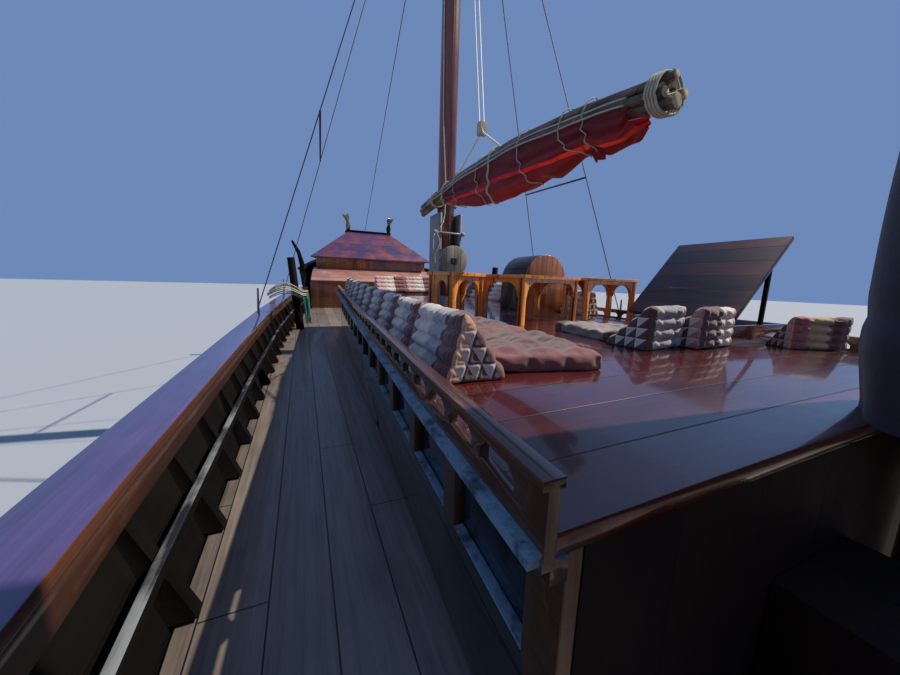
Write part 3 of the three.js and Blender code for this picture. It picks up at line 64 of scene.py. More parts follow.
# Floor at the waterline, pale and plain, under a soft sun from starboard and an even pale sky.
def linear(shade):
    channels = [int(shade[i : i + 2], 16) / 255 for i in (1, 3, 5)]
    return [c / 12.92 if c <= 0.04045 else ((c + 0.055) / 1.055) ** 2.4 for c in channels] + [1]


def add_node(tree, kind, settings, sockets):
    made = tree.nodes.new("ShaderNode" + kind)
    for key, value in settings.items():
        if key == "stops":
            for stop, (position, shade) in zip(made.color_ramp.elements, value):
                stop.position = position
                stop.color = linear(shade)
        else:
            setattr(made, key, value)
    for socket, value in sockets.items():
        if isinstance(value, bpy.types.Node):
            value = value.outputs[0]
        if isinstance(value, bpy.types.NodeSocket):
            tree.links.new(value, made.inputs[socket])
        else:
            made.inputs[socket].default_value = value
    return made


def new_material(name):
    made = bpy.data.materials.new(name)
    made.use_nodes = True
    made.node_tree.nodes.clear()
    return made, made.node_tree


def placed(name, mesh, material, smooth=False):
    # A mesh of one material, as a piece of the scene.
    mesh.materials.append(material)
    if smooth:
        for face in mesh.polygons:
            face.use_smooth = True
    made = bpy.data.objects.new(name, mesh)
    bpy.context.scene.collection.objects.link(made)
    return made


floor_paint, tree = new_material("floor_paint")
matt = add_node(tree, "BsdfPrincipled", {}, {"Base Color": linear("#98a0a8"), "Roughness": 0.9})
add_node(tree, "OutputMaterial", {}, {"Surface": matt})
bm = bmesh.new()
bmesh.ops.create_grid(bm, x_segments=1, y_segments=1, size=120)
floor_mesh = bpy.data.meshes.new("floor")
bm.to_mesh(floor_mesh)
bm.free()
floor = placed("floor", floor_mesh, floor_paint)

sky = bpy.data.worlds.new("studio")
sky.use_nodes = True
sky.node_tree.nodes["Background"].inputs["Color"].default_value = linear("#8fb2ee")
sky.node_tree.nodes["Background"].inputs["Strength"].default_value = 0.56
bpy.context.scene.world = sky
sun = bpy.data.objects.new("sun", bpy.data.lights.new("sun", "SUN"))
sun.data.energy = 4.9
sun.data.angle = math.radians(0.6)
sun.data.color = linear("#fff3e0")[:3]
sun.rotation_euler = Vector((0.1, 0.67, -0.8)).to_track_quat("-Z", "Y").to_euler()
bpy.context.scene.collection.objects.link(sun)
bpy.context.scene.view_settings.view_transform = "Standard"


# Rope on the port bitt, of cream three-strand rope 26 mm thick: one coil of six turns, dropped over the post
# so that it lies on the cap rail, its turns spread a little in height and width. Its far end is bare.
SCALE_AND_ADD, OF_COLOURS = {"operation": "MULTIPLY_ADD"}, {"data_type": "RGBA"}


def rope_finish(name, light, dark):
    # Laid synthetic rope is matt and a little fuzzy, with dark lines where its strands meet.
    made, tree = new_material(name)
    uv = add_node(tree, "UVMap", {"uv_map": "UVMap"}, {})
    lay = add_node(tree, "Mapping", {}, {"Vector": uv, "Rotation": (0, 0, 0.6)})
    strand = add_node(
        tree, "TexWave", {"wave_type": "BANDS", "bands_direction": "X", "wave_profile": "SIN"},
        {"Vector": lay, "Scale": 2.2, "Distortion": 0.6, "Detail": 2.0},
    )
    fuzz = add_node(tree, "TexNoise", {}, {"Vector": uv, "Scale": 60.0, "Detail": 4.0})
    tone = add_node(
        tree, "ValToRGB", {"stops": ((0.12, dark), (0.45, light))}, {"Fac": strand.outputs["Fac"]}
    )
    height = add_node(tree, "Math", SCALE_AND_ADD, {0: fuzz, 1: 0.25, 2: strand.outputs["Fac"]})
    bump = add_node(tree, "Bump", {}, {"Height": height, "Strength": 0.7, "Distance": 0.004})
    surface = add_node(
        tree, "BsdfPrincipled", {},
        {"Base Color": tone, "Roughness": 0.85, "Sheen Weight": 0.3, "Normal": bump},
    )
    add_node(tree, "OutputMaterial", {}, {"Surface": surface})
    return made


# A round tube along a line of points, closed at both ends, with u along it in diameters and v round it.
def tube_along(name, points, radius, sides, material):
    bm = bmesh.new()
    grid = bm.loops.layers.uv.new("UVMap")
    rings = []
    points = [Vector(p) for p in points]
    across = None
    travelled = [0.0]
    for a, b in zip(points, points[1:]):
        travelled.append(travelled[-1] + (b - a).length)
    for i, point in enumerate(points):
        line = (points[min(i + 1, len(points) - 1)] - points[max(i - 1, 0)]).normalized()
        if across is None:
            across = line.orthogonal().normalized()
        across = (across - line * across.dot(line)).normalized()
        other = line.cross(across)
        ring = []
        for j in range(sides):
            turn = 2 * math.pi * j / sides
            ring.append(bm.verts.new(point + (across * math.cos(turn) + other * math.sin(turn)) * radius))
        rings.append(ring)
    for i in range(len(rings) - 1):
        for j in range(sides):
            k = (j + 1) % sides
            face = bm.faces.new((rings[i][j], rings[i][k], rings[i + 1][k], rings[i + 1][j]))
            face.smooth = True
            u0, u1 = travelled[i] / radius / 2, travelled[i + 1] / radius / 2
            v0, v1 = j / sides, (j + 1) / sides
            for loop, place in zip(face.loops, ((u0, v0), (u0, v1), (u1, v1), (u1, v0))):
                loop[grid].uv = place
    bm.faces.new(rings[0][::-1])
    bm.faces.new(rings[-1])
    mesh = bpy.data.meshes.new(name)
    bm.to_mesh(mesh)
    bm.free()
    return placed(name, mesh, material)


def rope_on(body, name, points, radius, sides, material):
    # A rope that goes with this body.
    rope = tube_along(name, points, radius, sides, material)
    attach(rope, body)
    return rope


cream_rope = rope_finish("laid_polyester_cream", "#e2d9bd", "#9b8f6e")
coil_low, coil_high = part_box("rope_coil")
coil_middle = (coil_low + coil_high) / 2
coil_rope = 0.026
rope_turns, turn_steps = 6, 40
coil_points = []
for i in range(rope_turns * turn_steps + 1):
    turn = i / turn_steps
    phase = 2 * math.pi * turn
    spread = 0.03 + 0.024 * math.sin(1.7 * turn) + 0.008 * math.sin(5.1 * turn)
    arch = 0.2 * math.sin(math.pi * min(1, 1.15 * (0.5 - 0.5 * math.sin(phase))))
    coil_points.append(
        (
            coil_middle.x + ((coil_high.x - coil_low.x) / 2 - spread) * math.cos(phase),
            coil_middle.y + 0.05 + ((coil_high.y - coil_low.y) / 2 + 0.02 - spread) * math.sin(phase),
            coil_low.z + 0.014 + 0.033 * turn + arch * (0.6 + 0.07 * turn),
        )
    )
coil = rope_on("boat", "cream_rope_coil", coil_points, coil_rope / 2, 10, cream_rope)
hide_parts("rope_coil")

# Thinner green rope, 16 mm, laid of polypropylene and made up into a hank of six turns that hangs down the
# post's inner side.
green_rope = rope_finish("laid_polypropylene_green", "#3f9c82", "#1c5546")
hank_low, hank_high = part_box("rope_hank")
hank_middle = (hank_low + hank_high) / 2
hank_rope = 0.016
hank_points = []
for i in range(rope_turns * turn_steps + 1):
    turn = i / turn_steps
    phase = 2 * math.pi * turn + math.pi / 2
    spread = 0.012 + 0.02 * math.sin(2.3 * turn) ** 2
    rise = math.sin(phase)
    hank_points.append(
        (
            hank_middle.x + ((hank_high.x - hank_low.x) / 2 + 0.01 - spread) * math.cos(phase),
            hank_middle.y - 0.02 - 0.022 * turn + 0.017 * rise,
            hank_middle.z + 0.1 + ((hank_high.z - hank_low.z) / 2 + 0.16 - spread * 3) * rise,
        )
    )
hank = tube_along("green_rope_hank", hank_points, hank_rope / 2, 10, green_rope)
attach(hank, "boat")
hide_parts("rope_hank")


# Hull of tropical hardwood strakes 180 mm wide, painted black and gone brown and chalky in the weather. The
# keel, the stern post and the rudder are of the same wood in heavy baulks. The propeller is cast in bronze.
def planked(
    name, run, lay, width, light, dark, seam, coat, rough, worn="#a58f7c", bare=0.0,
    turn=(0, 0, 0), move=(0, 0, 0), butt=None, shine=0.5,
):
    # Sawn planks side by side: each has its own tone, its grain runs along it, and a groove of 4 to 10 mm
    # with its caulking or dirt lies between it and the next. Varnish goes over it as a coat.
    made, tree = new_material(name)
    place = add_node(tree, "TexCoord", {}, {}).outputs["Object"]
    turned = add_node(tree, "Mapping", {}, {"Vector": place, "Rotation": turn, "Location": move})
    split = add_node(tree, "SeparateXYZ", {}, {"Vector": turned})
    third = ({"X", "Y", "Z"} - {run, lay}).pop()
    rank = add_node(tree, "Math", {"operation": "DIVIDE"}, {0: split.outputs[lay], 1: width})
    plank = add_node(tree, "Math", {"operation": "FLOOR"}, {0: rank})
    chance = add_node(tree, "TexWhiteNoise", {"noise_dimensions": "1D"}, {"W": plank})
    shift = add_node(tree, "Math", SCALE_AND_ADD, {0: chance, 1: 37.0, 2: split.outputs[run]})
    line = add_node(tree, "CombineXYZ", {}, {"X": shift, "Y": split.outputs[lay], "Z": split.outputs[third]})
    # Grain 3 to 30 mm wide, drawn out some 25 times along the plank.
    stretched = add_node(tree, "Mapping", {}, {"Vector": line, "Scale": (1.4, 36.0, 36.0)})
    grain = add_node(
        tree, "TexNoise", {}, {"Vector": stretched, "Scale": 1.0, "Detail": 7.0, "Roughness": 0.62}
    )
    cloud = add_node(tree, "TexNoise", {}, {"Vector": line, "Scale": 1.7, "Detail": 5.0, "Roughness": 0.62})
    grained = add_node(tree, "Math", SCALE_AND_ADD, {0: grain, 1: 0.7, 2: -0.2})
    toned = add_node(tree, "Math", SCALE_AND_ADD, {0: chance, 1: 0.34, 2: grained})
    clouded = add_node(tree, "Math", SCALE_AND_ADD, {0: cloud, 1: 0.5, 2: toned})
    shade = add_node(tree, "ValToRGB", {"stops": ((0.3, dark), (0.75, light))}, {"Fac": clouded})
    # The groove, 1 in its middle and 0 on the plank.
    edge = add_node(tree, "Math", {"operation": "FRACT"}, {0: rank})
    near = add_node(tree, "Math", {"operation": "PINGPONG"}, {0: edge, 1: 0.5})
    groove = add_node(
        tree, "MapRange", {},
        {"Value": near, "From Min": 0.002 / width, "From Max": 0.005 / width, "To Min": 1.0, "To Max": 0.0},
    )
    if butt:
        # Planks end in butt joints, at another place in each strake.
        length = add_node(tree, "Math", {"operation": "DIVIDE"}, {0: shift, 1: butt})
        ends = add_node(tree, "Math", {"operation": "PINGPONG"}, {0: length, 1: 0.5})
        joint = add_node(
            tree, "MapRange", {},
            {"Value": ends, "From Min": 0.002 / butt, "From Max": 0.005 / butt, "To Min": 1.0, "To Max": 0.0},
        )
        groove = add_node(tree, "Math", {"operation": "MAXIMUM"}, {0: groove, 1: joint})
    # Where the finish has worn through, the wood shows pale and dry, first at the high grain.
    thin = add_node(tree, "Math", SCALE_AND_ADD, {0: grain, 1: 0.5, 2: cloud})
    patch = add_node(
        tree, "MapRange", {},
        {
            "Value": thin, "From Min": 0.95 - 0.35 * bare, "From Max": 1.0 - 0.1 * bare, "To Min": 0.0,
            "To Max": min(1.0, bare * 1.6),
        },
    )
    weathered = add_node(tree, "Mix", OF_COLOURS, {0: patch, 6: shade, 7: linear(worn)})
    colour = add_node(tree, "Mix", OF_COLOURS, {0: groove, 6: weathered.outputs[2], 7: linear(seam)})
    dull = add_node(
        tree, "MapRange", {},
        {"Value": cloud, "From Min": 0.3, "From Max": 0.75, "To Min": rough, "To Max": rough + 0.2},
    )
    height = add_node(tree, "Math", SCALE_AND_ADD, {0: groove, 1: -1.6, 2: grain})
    bump = add_node(tree, "Bump", {}, {"Height": height, "Strength": 0.35, "Distance": 0.004})
    glaze = add_node(
        tree, "MapRange", {},
        {"Value": groove, "From Min": 0.0, "From Max": 0.5, "To Min": coat, "To Max": 0.0},
    )
    surface = add_node(
        tree, "BsdfPrincipled", {},
        {
            "Base Color": colour.outputs[2], "Roughness": dull, "Specular IOR Level": shine,
            "Coat Weight": glaze, "Coat Roughness": 0.07, "Normal": bump,
        },
    )
    add_node(tree, "OutputMaterial", {}, {"Surface": surface})
    return made


# The wood's edges are eased by sanding, and its faces stay flat between them.
def dress(nodes, material, ease=0.005, lean=35):
    for name in nodes:
        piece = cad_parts[name]
        piece.data.materials.clear()
        piece.data.materials.append(material)
        for polygon in piece.data.polygons:
            polygon.use_smooth = True
        weld = piece.modifiers.new("weld", "WELD")
        weld.merge_threshold = 0.0001
        eased = piece.modifiers.new("eased", "BEVEL")
        eased.width = ease
        eased.segments = 2
        eased.limit_method = "ANGLE"
        eased.angle_limit = math.radians(lean)
        eased.harden_normals = True


# A part of a node painted or varnished otherwise: the faces that pass the test on their centre and direction.
def paint_faces(nodes, material, test):
    for name in nodes:
        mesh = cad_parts[name].data
        mesh.materials.append(material)
        for polygon in mesh.polygons:
            if test(polygon.center, polygon.normal):
                polygon.material_index = len(mesh.materials) - 1


hull_wood = planked(
    "black_painted_strakes", "X", "Z", 0.18, "#4a3526", "#1b130e", "#0a0807", 0.1, 0.5, "#6d5a49", 0.35
)
dress(["hull", "keel", "rudder"], hull_wood, 0.008)


def mottled(name, patch_size, stops, finish):
    # Metal, paint or glass of one ground, whose colour changes in soft patches.
    made, tree = new_material(name)
    place = add_node(tree, "TexCoord", {}, {}).outputs["Object"]
    patches = add_node(tree, "TexNoise", {}, {"Vector": place, **patch_size})
    tone = add_node(tree, "ValToRGB", {"stops": stops}, {"Fac": patches})
    surface = add_node(tree, "BsdfPrincipled", {}, {"Base Color": tone, **finish})
    add_node(tree, "OutputMaterial", {}, {"Surface": surface})
    return made


# Cast bronze, gone dull brown with greenish patches in the water.
propeller_bronze = mottled(
    "dull_bronze", {"Scale": 6.0, "Detail": 6.0}, ((0.4, "#8a6a3c"), (0.68, "#5d6a4c")),
    {"Metallic": 1.0, "Roughness": 0.42},
)
dress(["propeller"], propeller_bronze, 0.003, 60)

# Decks of bare teak laid fore and aft in planks 280 mm wide and gone grey: smooth, with black seams and a
# butt joint every 3.6 m, at another place in each plank.
bare_teak = planked(
    "bare_teak_deck", "X", "Y", 0.28, "#877a70", "#454140", "#0f0d0c", 0.2, 0.42, "#ab9a8b", 0.2, butt=3.6
)
dress(["main_deck", "poop_deck"], bare_teak, 0.004)

# Bulwarks of hardwood boards painted black on sawn frames, with a stringer fastened along the frames, whose
# top is rubbed grey by feet and ropes and lightened further as a painted highlight. The bow's bulwark is made
# the same way.
black_boards = planked(
    "black_painted_boards", "X", "Z", 0.3, "#0d0b0a", "#050404", "#020202", 0.0, 0.65, "#2a2420", 0.0,
    shine=0.12,
)
dress(["bulwark_port", "bulwark_stbd", "bow_bulwark"], black_boards, 0.006)
# Up-facing tops above 1.4 m are pale grey: rubbed paint, lightened further as a painted highlight.
rubbed_black_and_highlight = planked(
    "rubbed_black_paint_and_painted_highlight", "X", "Z", 0.3, "#25272a", "#0c0c0d", "#050505", 0.2, 0.4, "#7f8488", 0.6
)
paint_faces(["bulwark_port", "bulwark_stbd"], rubbed_black_and_highlight, lambda c, n: n.z > 0.6 and c.z > 1.4)

# Cap rails in one broad hardwood plank along the bulwarks' tops, varnished many times; the top is coloured
# purple-blue as a painted reflection of the sky, and the beam under it is brown, worn pale in spots and
# scuffed.
cap_side = planked(
    "scuffed_cap_beam", "X", "Z", 0.5, "#5f3824", "#31190f", "#8a7058", 0.4, 0.42, "#a27a52", 0.2
)
dress(["cap_rail_port", "cap_rail_stbd"], cap_side, 0.014)
# The up-facing faces are purple-blue: a painted reflection of the blue sky on the varnish.
cap_top_painted_sky_reflection = planked(
    "varnished_cap_top_painted_reflection", "X", "Y", 2.5, "#574a80", "#3d3058", "#120806", 1.0, 0.2, "#8d6a63", 0.04
)
paint_faces(["cap_rail_port", "cap_rail_stbd"], cap_top_painted_sky_reflection, lambda c, n: n.z > 0.8)

# Cabin sides of hardwood boards, framed and varnished brown, with pale blue paint on their sills and black
# gloss on the boards below. The after wall, its door and the step box are of the same wood, darkened to
# nearly black as painted shade.
cabin_boards = planked(
    "varnished_cabin_boards", "X", "Z", 0.8, "#5d3a1f", "#1c100a", "#0a0605", 0.6, 0.35, "#a57c46", 0.3
)
dress(["cabin_side_port", "cabin_side_stbd", "cabin_fore_wall"], cabin_boards, 0.006)
blue_paint = mottled(
    "pale_blue_sill_paint", {"Scale": 9.0, "Detail": 8.0, "Roughness": 0.7},
    ((0.36, "#35404a"), (0.52, "#7d98a8")), {"Roughness": 0.5},
)
paint_faces(["cabin_side_port", "cabin_side_stbd"], blue_paint, lambda c, n: n.z > 0.7 and c.z > 1.3)
black_gloss = planked(
    "black_gloss_boards", "X", "Z", 0.8, "#15110f", "#070605", "#020202", 1.0, 0.25, "#3a2c20", 0.1
)
paint_faces(
    ["cabin_side_port", "cabin_side_stbd"], black_gloss,
    lambda c, n: abs(n.y) > 0.9 and c.z < 1.62 + 0.0025 * (c.x + 5.5) ** 2,
)
# Dark wood coloured nearly black: painted shade on walls that face away from the sun.
boards_darkened_as_painted_shade = planked(
    "dark_cabin_boards_painted_shade", "Z", "Y", 0.42, "#220e09", "#0a0403", "#020101", 0.0, 0.6, "#3a1c10", 0.04,
    shine=0.25,
)
dress(["cabin_aft_wall", "cabin_door", "poop_block", "step_box"], boards_darkened_as_painted_shade, 0.006)

# Window panes of tinted sheet glass, let into the cabin sides in front of a dark cabin: their dark ground is
# painted shade for the unlit cabin, and their paler blue patches are a painted reflection of the sky.
glass_painted_shade_and_reflection = mottled(
    "tinted_glass_painted_shade_and_sky", {"Scale": 3.0, "Detail": 6.0}, ((0.35, "#0d1216"), (0.7, "#3f5f74")),
    {"Roughness": 0.06, "IOR": 1.52, "Coat Weight": 0.6, "Coat Roughness": 0.03},
)
dress(["window_panes_port", "window_panes_stbd"], glass_painted_shade_and_reflection, 0.002)

# Roof of hardwood planks laid athwart, 305 mm wide, rubbed down and varnished until they shine like glass. It
# is the sun deck, so cushions and tables stand on it.
roof_varnish = planked(
    "varnished_roof_planks", "Y", "X", 0.305, "#521713", "#2b0b09", "#0c0504", 1.0, 0.2, "#74301f", 0.08,
    move=(0.19, 0, 0),
)
dress(["cabin_roof"], roof_varnish, 0.012)

roof_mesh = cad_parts["cabin_roof"].data
roof_faces = BVHTree.FromPolygons(
    [v.co for v in roof_mesh.vertices], [tuple(p.vertices) for p in roof_mesh.polygons]
)


# The height of the roof's top there.
def roof_top(x, y):
    return roof_faces.ray_cast(Vector((x, y, 5)), Vector((0, 0, -1)))[0].z


# Pierced rails of one hardwood board along each side of the roof, varnished, with a pale blue painted ledge
# at the foot. The varnish has worn through to the pale wood in places.
rail_varnish = planked(
    "varnished_rail", "X", "Z", 0.6, "#4b2c1a", "#170f0b", "#080504", 0.8, 0.32, "#9a7145", 0.3
)
dress(["roof_rail_port", "roof_rail_stbd"], rail_varnish, 0.004)
side_slope = 0.0432
paint_faces(
    ["roof_rail_port", "roof_rail_stbd"], blue_paint,
    lambda c, n: abs(abs(c.y) - 2.1553 + side_slope * (c.x + 5)) < 0.002 or (n.z > 0.6 and c.z < 2.13),
)
# A pale blue moulding, 38 mm wide, is nailed to the ledge along its whole length.
ledge_steps = 88
for word, side in (("port", 1), ("starboard", -1)):
    ledge_points, ledge_faces = [], []
    for i in range(ledge_steps + 1):
        x = -5.0 + 0.1 * i
        wall = 2.08 - 0.04318 * (x + 5) + 0.072
        top = roof_top(min(max(x, -4.99), 3.79), side * (wall - 0.1)) - 0.048
        for out, rise in ((0.0, 0.0), (0.038, -0.004), (0.038, -0.028), (0.0, -0.028)):
            ledge_points.append((x, side * (wall + out), top + rise))
    for i in range(ledge_steps):
        for j in range(4):
            a, b = i * 4 + j, i * 4 + (j + 1) % 4
            ledge_faces.append((a, b, b + 4, a + 4) if side < 0 else (b, a, a + 4, b + 4))
    ledge_faces += [(0, 1, 2, 3)[:: -side], tuple(ledge_steps * 4 + k for k in (3, 2, 1, 0))[:: -side]]
    ledge_mesh = bpy.data.meshes.new(f"ledge_moulding_{word}")
    ledge_mesh.from_pydata(ledge_points, [], ledge_faces)
    moulding = placed(f"ledge_moulding_{word}", ledge_mesh, blue_paint)
    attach(moulding, "boat")

# Hatch in the roof, helm, and the poop's boards and steps, of hardwood with red-brown varnish. The hatch's
# lid is of planks painted and worn, and stands open on a black stay.
red_varnish = planked(
    "varnished_red_brown", "Y", "Z", 0.3, "#6d2b1a", "#3b140d", "#140807", 1.0, 0.2, "#8d4a2a", 0.15
)
dress(["hatch_coaming", "helm_pedestal", "helm_wheel", "poop_bulwark", "poop_steps"], red_varnish)
lid_boards = planked(
    "painted_lid_planks", "X", "Y", 0.2, "#53261f", "#1c1013", "#0c0606", 0.4, 0.42, "#6b3022", 0.2,
    (math.radians(46.5), 0, 0),
)
dress(["hatch_lid"], lid_boards, 0.004)
dress(["lid_stay"], boards_darkened_as_painted_shade, 0.004)

# Three low tables of orange hardwood, with brackets under their tops, and the booby hatch beside them: a
# barrel roof of dark planks on an after end of varnished boards.
# The orange is brighter than the wood's own, as painted light on faces that stand in shade.
orange_varnish_brightened_as_painted_light = planked(
    "orange_hardwood_painted_light", "X", "Y", 0.12, "#f79a3a", "#c2621a", "#5a2c0e", 0.7, 0.3, "#efb869", 0.25
)
dress(["table_near", "table_far", "table_port"], orange_varnish_brightened_as_painted_light, 0.004)
dress(
    ["roof_hood"],
    planked("hood_planks", "X", "Y", 0.12, "#2b211c", "#0f0b0a", "#050403", 0.3, 0.4, "#5a4433", 0.1), 0.01,
)
paint_faces(
    ["roof_hood"],
    planked("hood_after_boards", "Z", "Y", 0.11, "#b0662c", "#5a2c14", "#1c0e07", 0.7, 0.3, "#c98f50", 0.2),
    lambda c, n: n.x < -0.8,
)

# Masts of varnished pole wood. The main mast stands in a tabernacle painted grey, with a reel of weathered
# wood on its after side, which is turned on a dark hub.
grey_wood = planked(
    "weathered_grey_wood", "Z", "Y", 0.14, "#b8ac94", "#6f675a", "#2a2723", 0.0, 0.6, "#cfc4ac", 0.3
)
dress(
    ["tabernacle"],
    planked("grey_painted_wood", "Z", "Y", 0.4, "#8d9298", "#5a5f66", "#2c2e30", 0.1, 0.5, "#9c8f80", 0.3),
    0.008,
)
dress(["halyard_reel"], grey_wood, 0.006)
hub_wood = planked("dark_reel_hub", "Z", "Y", 0.3, "#3d3a36", "#141312", "#080808", 0.1, 0.5)
paint_faces(["halyard_reel"], hub_wood, lambda c, n: c.x < 0.4 or math.hypot(c.y, c.z - 3.08) < 0.1)
mast_varnish = planked(
    "varnished_mast", "Z", "Y", 0.6, "#8a4126", "#50200f", "#1f0c07", 0.9, 0.3, "#a9693f", 0.2
)
dress(["main_mast", "mizzen_mast"], mast_varnish, 0.006)

# Forecastle of upright varnished boards under a hipped roof, coloured purple as a painted reflection of the
# sky over its red-brown varnish, with a pale pink deck before it whose paleness is partly painted sunlight.
# The ridge board and the bitts are black, and the carved ends once gilt.
dress(
    ["fore_bulkhead", "fore_house"],
    planked("fore_boards", "Z", "Y", 0.16, "#b0622c", "#6a3017", "#2a130a", 0.8, 0.3, "#c48b58", 0.2), 0.006,
)
# Purple ground: a painted reflection of the sky over red-brown varnish.
fore_roof_painted_sky_reflection = planked(
    "fore_roof_varnish_painted_reflection", "Y", "X", 0.3, "#64405c", "#3b2c50", "#120806", 1.0, 0.22, "#8d3f26", 0.75
)
dress(["fore_roof"], fore_roof_painted_sky_reflection, 0.01)
# Pale pink: the deck's varnish, made lighter as painted sunlight.
dress(
    ["fore_deck"],
    planked(
        "fore_deck_varnish_painted_sunlight", "Y", "X", 0.3, "#b98a7c", "#84574c", "#2a130f", 0.6, 0.35, "#caa89a", 0.3
    ),
    0.006,
)
dress(["fore_ridge", "bitt_port", "bitt_stbd"], black_boards, 0.008)
gilding = planked(
    "worn_gilding_on_carving", "Z", "X", 0.09, "#b7924c", "#4f5a3c", "#3a2c18", 0.2, 0.5, "#d8c48a", 0.4
)
paint_faces(["fore_ridge"], gilding, lambda c, n: c.y > 0.8 and c.z > 4.72)
white_cap = planked(
    "worn_white_carving", "Z", "X", 0.09, "#8d8478", "#2a2522", "#151210", 0.1, 0.5, "#d8d2c4", 0.4
)
paint_faces(["fore_ridge"], white_cap, lambda c, n: c.y < -0.8 and c.z > 4.95)


# Spars of the main sail: bamboo poles 60 to 100 mm thick, weathered grey-brown with a darker ring at each
# node, pale where they were cut, bunched with the furled sail and lashed at their after ends.
bamboo, tree = new_material("weathered_bamboo")
place = add_node(tree, "TexCoord", {}, {}).outputs["Object"]
split = add_node(tree, "SeparateXYZ", {}, {"Vector": place})
reach = add_node(tree, "Math", SCALE_AND_ADD, {0: split.outputs["Z"], 1: 2.3, 2: split.outputs["X"]})
rank = add_node(tree, "Math", {"operation": "DIVIDE"}, {0: reach, 1: 0.38})
ring = add_node(tree, "Math", {"operation": "PINGPONG"}, {0: rank, 1: 0.5})
node_ring = add_node(
    tree, "MapRange", {}, {"Value": ring, "From Min": 0.012, "From Max": 0.04, "To Min": 1.0, "To Max": 0.0}
)
drawn = add_node(tree, "Mapping", {}, {"Vector": place, "Scale": (2.0, 45.0, 45.0)})
fibre = add_node(tree, "TexNoise", {}, {"Vector": drawn, "Scale": 1.0, "Detail": 6.0})
blotch = add_node(tree, "TexNoise", {}, {"Vector": place, "Scale": 3.5, "Detail": 5.0})
mixed = add_node(tree, "Math", SCALE_AND_ADD, {0: fibre, 1: 0.5, 2: blotch})
tone = add_node(tree, "ValToRGB", {"stops": ((0.45, "#2c241f"), (1.0, "#8a7762"))}, {"Fac": mixed})
ringed = add_node(tree, "Mix", OF_COLOURS, {0: node_ring, 6: tone, 7: linear("#1d1713")})
bump = add_node(tree, "Bump", {}, {"Height": mixed, "Strength": 0.4, "Distance": 0.004})
surface = add_node(
    tree, "BsdfPrincipled", {}, {"Base Color": ringed.outputs[2], "Roughness": 0.55, "Normal": bump}
)
add_node(tree, "OutputMaterial", {}, {"Surface": surface})
dress(["main_spars"], bamboo, 0.004)
cut_bamboo = planked("cut_bamboo", "X", "Z", 0.5, "#c9b48c", "#7d6a4a", "#5a4a33", 0.0, 0.7, "#ded0ac", 0.3)
paint_faces(["main_spars"], cut_bamboo, lambda c, n: c.x < -3.72)

# Main sail of red canvas, furled: one layer hangs in a long bag under the spars, drawn up where a lashing
# goes round it, with its folds running along it. The cloth is thin enough to let some sun through.
bundle_y, sail_aft, sail_length, flap_length = 0.33, -3.57, 3.56, 0.17
spar_line = (
    (-3.85, 3.905), (-3.4, 3.99), (-3.0, 4.055), (-2.0, 4.155), (-0.65, 4.165), (0.3, 4.1), (1.25, 4.015)
)
sail_foot = (
    (-3.58, 3.86), (-3.52, 3.75), (-3.33, 3.735), (-3.17, 3.82), (-3.0, 3.785), (-2.75, 3.72), (-2.57, 3.75),
    (-2.35, 3.695), (-2.0, 3.67), (-1.7, 3.675), (-1.3, 3.73), (-0.79, 3.8), (-0.4, 3.86), (0.0, 3.98),
)


# The value at x on a line of points.
def at(line, x):
    for (x0, v0), (x1, v1) in zip(line, line[1:]):
        if x <= x1:
            return v0 + (v1 - v0) * max(0, x - x0) / (x1 - x0)
    return line[-1][1]


def paint(mesh, colour_of):
    # One colour for each face's corners, in the attribute that the cloth reads.
    layer = mesh.color_attributes.new("dye_and_painted_glow", "FLOAT_COLOR", "CORNER")
    for face in mesh.polygons:
        shade = linear(colour_of(face.center))
        for corner in face.loop_indices:
            layer.data[corner].color = shade


# The line of cloth round the bag at x, from its port edge at share 0 to its starboard edge at share 1.
def bag(x, share, out=0.0):
    top = at(spar_line, x) - 0.01
    foot = at(sail_foot, x)
    turn = math.pi * share
    down = math.sin(turn) ** 0.75
    half = 0.118 + 0.03 * math.sin(turn) * min(1, max(0, -x))
    crease = 6.3 * (2.9 * down + 0.55 * x + 0.6 * noise.noise(Vector((x * 1.1, share * 2, 0))))
    fold = 0.033 * math.sin(crease) * down**0.6 + 0.02 * noise.noise(Vector((x * 4, down * 5, share * 3)))
    reach_out = half + fold + out
    return Vector(
        (x, bundle_y + reach_out * math.cos(turn), top - (top - foot + out) * down - 0.5 * fold * down)
    )


def cloth_grid(rows, columns):
    # The faces of a cloth whose points are numbered across its columns and then down its rows.
    firsts = [i * (columns + 1) + j for i in range(rows) for j in range(columns)]
    return [(a, a + 1, a + columns + 2, a + columns + 1) for a in firsts]


grid_x, grid_round = 170, 60
cloth_points = [
    bag(sail_aft + sail_length * i / grid_x, j / grid_round)
    for i in range(grid_x + 1)
    for j in range(grid_round + 1)
]
sail_mesh = bpy.data.meshes.new("sail_cloth")
sail_mesh.from_pydata([tuple(p) for p in cloth_points], [], cloth_grid(grid_x, grid_round))
sail_canvas, tree = new_material("red_sail_canvas")
dye_and_painted_glow = add_node(tree, "Attribute", {"attribute_name": "dye_and_painted_glow"}, {})
place = add_node(tree, "TexCoord", {}, {}).outputs["Object"]
stain = add_node(tree, "TexNoise", {}, {"Vector": place, "Scale": 2.4, "Detail": 7.0, "Roughness": 0.65})
weave = add_node(tree, "TexNoise", {}, {"Vector": place, "Scale": 240.0, "Detail": 2.0})
level_light = add_node(tree, "Math", SCALE_AND_ADD, {0: stain, 1: 0.9, 2: 0.5})
cloth_colour = add_node(
    tree, "Mix", {"data_type": "RGBA", "blend_type": "MULTIPLY"}, {0: 1.0, 6: dye_and_painted_glow, 7: level_light}
)
crinkle = add_node(tree, "TexNoise", {}, {"Vector": place, "Scale": 9.0, "Detail": 6.0, "Distortion": 0.8})
